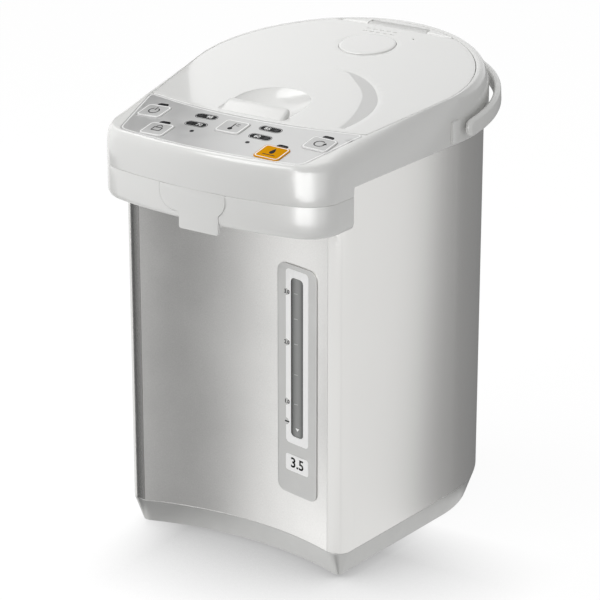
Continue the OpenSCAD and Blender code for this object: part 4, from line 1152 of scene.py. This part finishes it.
# the bowl of the well
bowl_centre = np.array((0, 45))
bowl_rings = [level_of(well_wide, 0), level_of(offset(well_outline, -0.3*well_lip), 0.15*well_lip),
              level_of(offset(well_outline, -0.05*well_lip), 0.5*well_lip)]
for scale in (1, 0.98, 0.95, 0.91, 0.86, 0.8, 0.73, 0.65, 0.56, 0.46, 0.35, 0.24, 0.12):
    fall = well_lip + (well_depth - well_lip)*(1 - scale**2)**0.9
    shrunk = [tuple(bowl_centre + scale*(np.array(p) - bowl_centre)) for p in well_outline]
    bowl_rings.append(level_of(shrunk, fall))
bowl_points, bowl_faces = loft(bowl_rings)
rim_size = len(well_outline)
bowl_faces.append(list(range(len(bowl_points) - rim_size, len(bowl_points))))
parts.append((bowl_points, bowl_faces))
cup_points, cup_faces = loft([level_of(well_cup, lid_under), level_of(well_cup, 10.5)])
parts.append((cup_points, cup_faces + [list(range(rim_size, 2*rim_size))]))
lid_gloss = plastic("lid_gloss", (0.80, 0.80, 0.785), 0.16, drift=0.02, **{"Coat Weight": 0.35})
lid = build("lid_shell", *join(parts), lid_gloss, sharp=38)
# a thin floor just under the steam slots, which show only faintly
floor_outline = [(-20, 193.3), (8, 193.3), (8, 201.7), (-20, 201.7)]
floor_low, floor_high = (lambda x, y, drop_by=drop_by: level_of([(x, y)], drop_by)[0] for drop_by in (0.7, 0.4))
slot_floor = build("steam_slot_floor", *slab([floor_outline], floor_low, floor_high, 4), lid_gloss)
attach(slot_floor, "lid")
hinge_y, barrel_radius, barrel_half, pin_radius = 213, 3.5, 24, 1.55
hinge_z = deck_z + (hinge_y - bend_y)*math.tan(math.radians(lid_rise)) - barrel_radius
# painted shade: the hinge's white plastic given a darker grey, so the barrel at the lid's rear reads as shaded
hinge_shaded_white = plastic("hinge_shaded_white", (0.62, 0.62, 0.61), 0.35, drift=0.03)
arm_slot = block("arm_slot", (-3.6, 21.2, 285), (3.6, 33.6, 306), lid_gloss)
cut(lid, arm_slot)
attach(lid, "lid")
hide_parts("lid_cover")
barrel_edge = 0.3
barrel_rows = ((-barrel_half, barrel_radius - barrel_edge), (-barrel_half + barrel_edge, barrel_radius),
               (barrel_half - barrel_edge, barrel_radius), (barrel_half, barrel_radius - barrel_edge),
               (barrel_half, pin_radius), (-barrel_half, pin_radius))
barrel_arm = block("barrel_arm", (-barrel_half, notch_y - 3.2, hinge_z - 2.5),
                   (barrel_half, hinge_y - 1, hinge_z + 2.2), hinge_shaded_white)
hinge_barrel = build("lid_hinge_barrel", *loft([[(x, y, z) for y, z in circle(hinge_y, hinge_z, radius, 48)]
                                                for x, radius in barrel_rows], looped=True), hinge_shaded_white)
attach(hinge_barrel, "lid")
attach(barrel_arm, "lid")
# painted shade: the crescent's satin skin is a darker grey than the lid's white
crescent_painted_shade = plastic("crescent_painted_shade", (0.64, 0.64, 0.63), 0.45, drift=0.05, peel=0.00002, peel_size=1800.0)
crescent_skin = build("crescent_painted_shade_skin", *slab(
    [offset(crescent_floor, 0.05)], lambda x, y: relief(x, y, 0.01), lambda x, y: relief(x, y, 0.05), 4),
    crescent_painted_shade)
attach(crescent_skin, "lid")

# ------------------------------------------------------------------ steam cap
# A round cap that snaps into the lid over the steam tube; steam leaves by the slots behind it.


def on_lid(x, y, h):
    """A point of the lid's own flat frame: across, up its slope and square to it."""
    rise = math.radians(lid_rise)
    return (x, bend_y + y*math.cos(rise) - h*math.sin(rise), deck_z + y*math.sin(rise) + h*math.cos(rise))


cap_edge = [(steam_radius - 2.6*(1 - math.cos(t)), 0.95*math.sin(t)) for t in np.radians(np.linspace(0, 85, 9))]
cap_rings = [[on_lid(x, y, h) for x, y in circle(0, steam_y - bend_y, radius, 96)]
             for radius, h in [(steam_radius, -6)] + cap_edge + [(13, 0.98), (6, 1)]]
steam_cap = build("steam_vent_cap", *loft(cap_rings, capped=True), lid_gloss)
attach(steam_cap, "lid")
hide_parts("steam_cap")

# ------------------------------------------------------------------ latch lever
# The white wedge at the front of the lid: a finger in the well lifts its rear edge, which turns
# it on its pin and draws the bolt.
lever_half, latch_y, latch_z = 24.6, 25.6, 309.2
lever_back = [(8.6*t, 2.2 + 4.9*math.sin(math.radians(80*t))) for t in np.linspace(0.15, 1, 12)]
lever_profile = filleted(arc(0, 0, 2.2, 260, 110, 12) + lever_back + [(10, 5.4), (9.4, 2.6), (6, 0.8), (3, -1.2)],
                         [0]*25 + [0.9, 0.5, 0, 0], 4)
lever_ends = ((0, 0.35), (0.15, 0.6), (0.6, 0.8), (1.4, 0.93), (2.8, 1))
lever_heart = 3
lever_points, lever_faces = stack([([(lever_heart + (y - lever_heart)*size, z*size) for y, z in lever_profile],
                                    side*(lever_half - inset))
                                   for side, ends in ((-1, lever_ends), (1, lever_ends[::-1]))
                                   for inset, size in ends])
# painted shade: the lever's white is a little darker than the lid's, where the front lamp falls on it strongly; its
# rougher gloss is real
lever_shaded_white = plastic("lever_shaded_white", (0.76, 0.76, 0.745), 0.34, drift=0.02)
lever = build("latch_lever_wedge", [(x, latch_y + y, latch_z + z) for y, z, x in lever_points], lever_faces,
              lever_shaded_white)
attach(lever, "latch_lever")
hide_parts("latch_lever")
lever_arm = block("latch_lever_arm", (-2.5, latch_y - 1.3, latch_z - 11.5), (2.5, latch_y + 1.3, latch_z - 0.5),
                  lid_gloss)
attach(lever_arm, "latch_lever")

# ------------------------------------------------------------------ carry handle
# A flat band bent round the back of the head, on a pivot at each side. It lies a little above
# level, on a stop rib, and swings up to carry.
handle_inner, handle_thick, handle_high, handle_tilt = 105.5, 5.0, 12.6, 5.6
band_y, band_z, band_round, end_y, end_radius = 136.4, 293.2, 2.5, -7, 6.3


def bent_band():
    tree, given, out = geometry_tree("bent_band", Material=None, Radius=0.1, Thickness=0.005, Height=0.013,
                                     Rounding=0.002, Tilt=0.12, Steps=96, Y=0.1, Z=0.3)
    line = node(tree, "GeometryNodeCurveArc", {"Resolution": given["Steps"], "Radius": given["Radius"],
                                               "Start Angle": 0.0, "Sweep Angle": math.pi}, mode="RADIUS")
    shape = node(tree, "GeometryNodeCurvePrimitiveQuadrilateral", {"Width": given["Thickness"],
                                                                   "Height": given["Height"]})
    rounded = node(tree, "GeometryNodeFilletCurve", {"Curve": shape.outputs[0], "Count": 5,
                                                     "Radius": given["Rounding"]}, mode="POLY")
    swept = node(tree, "GeometryNodeCurveToMesh", {"Curve": line.outputs[0], "Profile Curve": rounded.outputs[0],
                                                   "Fill Caps": True})
    turn = node(tree, "ShaderNodeCombineXYZ", {"X": given["Tilt"]})
    place = node(tree, "ShaderNodeCombineXYZ", {"Y": given["Y"], "Z": given["Z"]})
    placed = node(tree, "GeometryNodeTransform", {"Geometry": swept.outputs[0], "Translation": place.outputs[0],
                                                  "Rotation": turn.outputs[0]})
    finish_tree(tree, given, out, placed.outputs[0])
    return tree


handle_gloss = plastic("handle_gloss", (0.80, 0.80, 0.785), 0.22, drift=0.02, **{"Coat Weight": 0.3})
handle = from_tree("carry_handle_band", bent_band(), handle_gloss, Radius=(handle_inner + handle_thick/2)*MM,
                   Thickness=handle_thick*MM, Height=handle_high*MM, Rounding=band_round*MM,
                   Tilt=math.radians(handle_tilt), Y=front_plane + band_y*MM, Z=band_z*MM)
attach(handle, "handle")
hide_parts("handle")


def end_outline(radius):
    """The side view of a handle end: straight, then round at its front, tilted with the band."""
    turn = math.radians(handle_tilt)
    flat = arc(end_y, 0, radius, 90, 270, 30) + [(-3, -radius), (1.5, -radius), (1.5, radius), (-3, radius)]
    return [(band_y + y*math.cos(turn) - z*math.sin(turn), band_z + y*math.sin(turn) + z*math.cos(turn))
            for y, z in flat]


for side, name in ((-1, "left"), (1, "right")):
    edge = [(end_radius - band_round*(1 - math.cos(t)), band_round*(1 - math.sin(t)))
            for t in np.radians(np.linspace(90, 0, 6))]
    rings = [[(side*(handle_inner + x), y, z) for y, z in end_outline(radius)]
             for radius, x in edge + [(radius, handle_thick - x) for radius, x in reversed(edge)]]
    handle_end = build(name + "_handle_end", *loft(rings, capped=True), handle_gloss)
    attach(handle_end, "handle")

# the rib on each side that the folded handle rests on
stop_low, stop_high, stop_round = (112, 284.3), (120, 299.6), 1.2


def on_side(side):
    def surface(out):
        def place(y, z):
            x = side_x(head_reach + out, side_lean, y)
            if y > back_centre - (body_radius + head_over)*lean_sin:
                x = math.sqrt((body_radius + head_over + out)**2 - (y - back_centre)**2)
            return (side*x, y, z)
        return place
    return surface


for side, name in ((-1, "left"), (1, "right")):
    rib_outline = rounded_box(stop_low, stop_high, stop_round, 5)
    rib = build(name + "_handle_stop", *slab([rib_outline], on_side(side)(0.04), on_side(side)(2)), head_gloss)
    soften(rib, 0.4, 3)
    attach(rib, "pot")
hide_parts("handle_stops")

# ------------------------------------------------------------------ room
# A white table under an even sky, with a painted shadow in front of the pot; a lamp over the left of the lid and a
# weak one to the front.
# Mirrors see the sky, with a darker band low in front, and a few boards set round the steel.
table_reach, table_glow, own_light = 6.0, 1.08, 0.85


def seen_by_eye(tree):
    """1 for rays that the camera sees, straight or through clear plastic, and 0 for the others."""
    path = shader(tree, "LightPath").outputs
    return maths(tree, "MAXIMUM", path["Is Camera Ray"], path["Is Transmission Ray"])


table_paper, tree = bare_material("white_table")
grain = shader(tree, "TexNoise", {"Vector": shader(tree, "TexCoord").outputs["Object"], "Scale": 60.0, "Detail": 4.0})
tone = shader(tree, "MapRange", {"Value": grain.outputs["Fac"], "To Min": 0.84, "To Max": 0.86})
face = shader(tree, "BsdfPrincipled", {"Base Color": tone.outputs[0], "Roughness": 0.6, "Specular IOR Level": 0.0})
# painted shadow: ambient occlusion turns the table's own glow down close in front of the pot, and only there
near = shader(tree, "AmbientOcclusion", {"Distance": 0.12}, samples=8)
shade = shader(tree, "MapRange", {"Value": near.outputs["AO"], "From Min": 0.4, "To Min": 0.58, "To Max": 0.0})
where = shader(tree, "SeparateXYZ", {"Vector": shader(tree, "TexCoord").outputs["Object"]})
before = shader(tree, "MapRange", {"Value": where.outputs["Y"], "From Min": 0.01, "From Max": -0.05})
beside = shader(tree, "MapRange", {"Value": where.outputs["X"], "From Min": -0.095, "From Max": -0.05})
fall = maths(tree, "MULTIPLY", maths(tree, "MULTIPLY", before.outputs[0], beside.outputs[0]), shade.outputs[0])
glow = shader(tree, "Emission", {"Color": (1, 1, 1, 1), "Strength": maths(tree, "SUBTRACT", table_glow, fall)})
amount = maths(tree, "MULTIPLY", seen_by_eye(tree), own_light)
mixed = shader(tree, "MixShader", {0: amount, 1: face.outputs[0], 2: glow.outputs[0]})
shader(tree, "OutputMaterial", {"Surface": mixed.outputs[0]})
table = bpy.data.objects.new("table", bpy.data.meshes.new("table"))
table.data.from_pydata([(-table_reach, -table_reach, 0), (table_reach, -table_reach, 0),
                        (table_reach, table_reach, 0), (-table_reach, table_reach, 0)], [], [(0, 1, 2, 3)])
table.data.materials.append(table_paper)
table.visible_glossy = False
scene.collection.objects.link(table)


def lamp(name, place, aim, size, watts):
    light = bpy.data.objects.new(name, bpy.data.lights.new(name, "AREA"))
    light.data.shape, light.data.size, light.data.energy = "DISK", size, watts
    light.location = place
    light.rotation_euler = (Vector(aim) - Vector(place)).to_track_quat("-Z", "Y").to_euler()
    scene.collection.objects.link(light)
    return light


pot_heart = (0, 0, 0.2)
lamp("overhead", (-0.4, -0.05, 0.85), pot_heart, 0.5, 1.75)
lamp("front", (-0.5, -1.3, 1.1), pot_heart, 0.7, 6.4)

board_light, tree = bare_material("board_light")
clouds = shader(tree, "TexNoise", {"Vector": shader(tree, "TexCoord").outputs["Object"], "Scale": 2.0})
uneven = shader(tree, "MapRange", {"Value": clouds.outputs["Fac"], "To Min": 0.9, "To Max": 1.1})
given_glow = shader(tree, "Attribute", attribute_name="glow", attribute_type="GEOMETRY")
strength = maths(tree, "MULTIPLY", uneven.outputs[0], given_glow.outputs["Fac"])
shader(tree, "OutputMaterial", {"Surface": shader(
    tree, "Emission", {"Color": (1, 1, 1, 1), "Strength": strength}).outputs[0]})


def board(name, path, low, high, glows):
    """An upright board along a path that only mirrors see, with a light of its own at each path point."""
    made = bpy.data.objects.new(name, bpy.data.meshes.new(name))
    made.data.from_pydata([spot(x, y, z) for z in (low, high) for x, y in path], [],
                          [(i, i + 1, len(path) + i + 1, len(path) + i) for i in range(len(path) - 1)])
    made.data.attributes.new("glow", "FLOAT", "POINT").data.foreach_set("value", list(glows)*2)
    made.data.materials.append(board_light)
    made.visible_camera = made.visible_diffuse = made.visible_shadow = False
    made.visible_transmission = made.visible_volume_scatter = False
    scene.collection.objects.link(made)


board("left_board", [(-113, -48), (-143, -10)], -60, 265, [0.12, 0.12])
board("rear_board", [(181, 196), (150, 250), (110, 290), (0, 300), (-60, 300)], -80, 300,
      [0.38, 0.34, 0.3, 0.2, 0.15])
board("right_board", [(20, -60), (125, -60)], -40, 232, [1, 1])
board("corner_board", [(58, -92), (70, -89), (112, -73), (132, -58), (165, -25)], 248, 324, [2, 8, 8, 3, 1.5])
board("label_board", [(-470, 200), (-185, 200)], 330, 720, [0, 0.12])

sky_low, sky_rise = 0.05, 0.35
front_band = ((-180, 1.0), (-60, 1.0), (-25, 0.9), (-6, 0.6), (8, 0.22), (20, 0.25), (31, 0.58), (43, 1.02),
              (58, 1.25), (80, 1.2), (110, 1.0), (180, 1.0))
world = bpy.data.worlds.new("room")
scene.world = world
world.use_nodes = True
sky = world.node_tree
sky.nodes.clear()
toward = shader(sky, "SeparateXYZ", {"Vector": shader(sky, "TexCoord").outputs["Generated"]})
leftward, frontward = (maths(sky, "MULTIPLY", toward.outputs[axis], -1.0) for axis in "XY")
bearing = maths(sky, "ARCTAN2", leftward, frontward)
turn = shader(sky, "MapRange", {"Value": bearing, "From Min": -math.pi, "From Max": math.pi})
ramp = shader(sky, "ValToRGB", {"Fac": turn.outputs[0]})
ramp.color_ramp.interpolation = "EASE"
while len(ramp.color_ramp.elements) < len(front_band):
    ramp.color_ramp.elements.new(0.5)
for element, (degrees, bright) in zip(ramp.color_ramp.elements, front_band):
    element.position = (degrees + 180)/360
    element.color = (bright, bright, bright, 1)
up = shader(sky, "MapRange", {"Value": toward.outputs["Z"], "From Min": sky_low, "From Max": sky_rise})
mirrored_sky = shader(sky, "MapRange", {"Value": up.outputs[0], "To Min": ramp.outputs["Color"], "To Max": 1.0})
level = shader(sky, "MapRange", {"Value": seen_by_eye(sky), "To Min": 0.52, "To Max": 1.0})
level = shader(sky, "MapRange", {"Value": shader(sky, "LightPath").outputs["Is Glossy Ray"],
                                 "To Min": level.outputs[0], "To Max": mirrored_sky.outputs[0]})
shader(sky, "OutputWorld", {"Surface": shader(sky, "Background", {"Color": (1, 1, 1, 1),
                                                                "Strength": level.outputs[0]}).outputs[0]})
scene.view_settings.view_transform = "Standard"
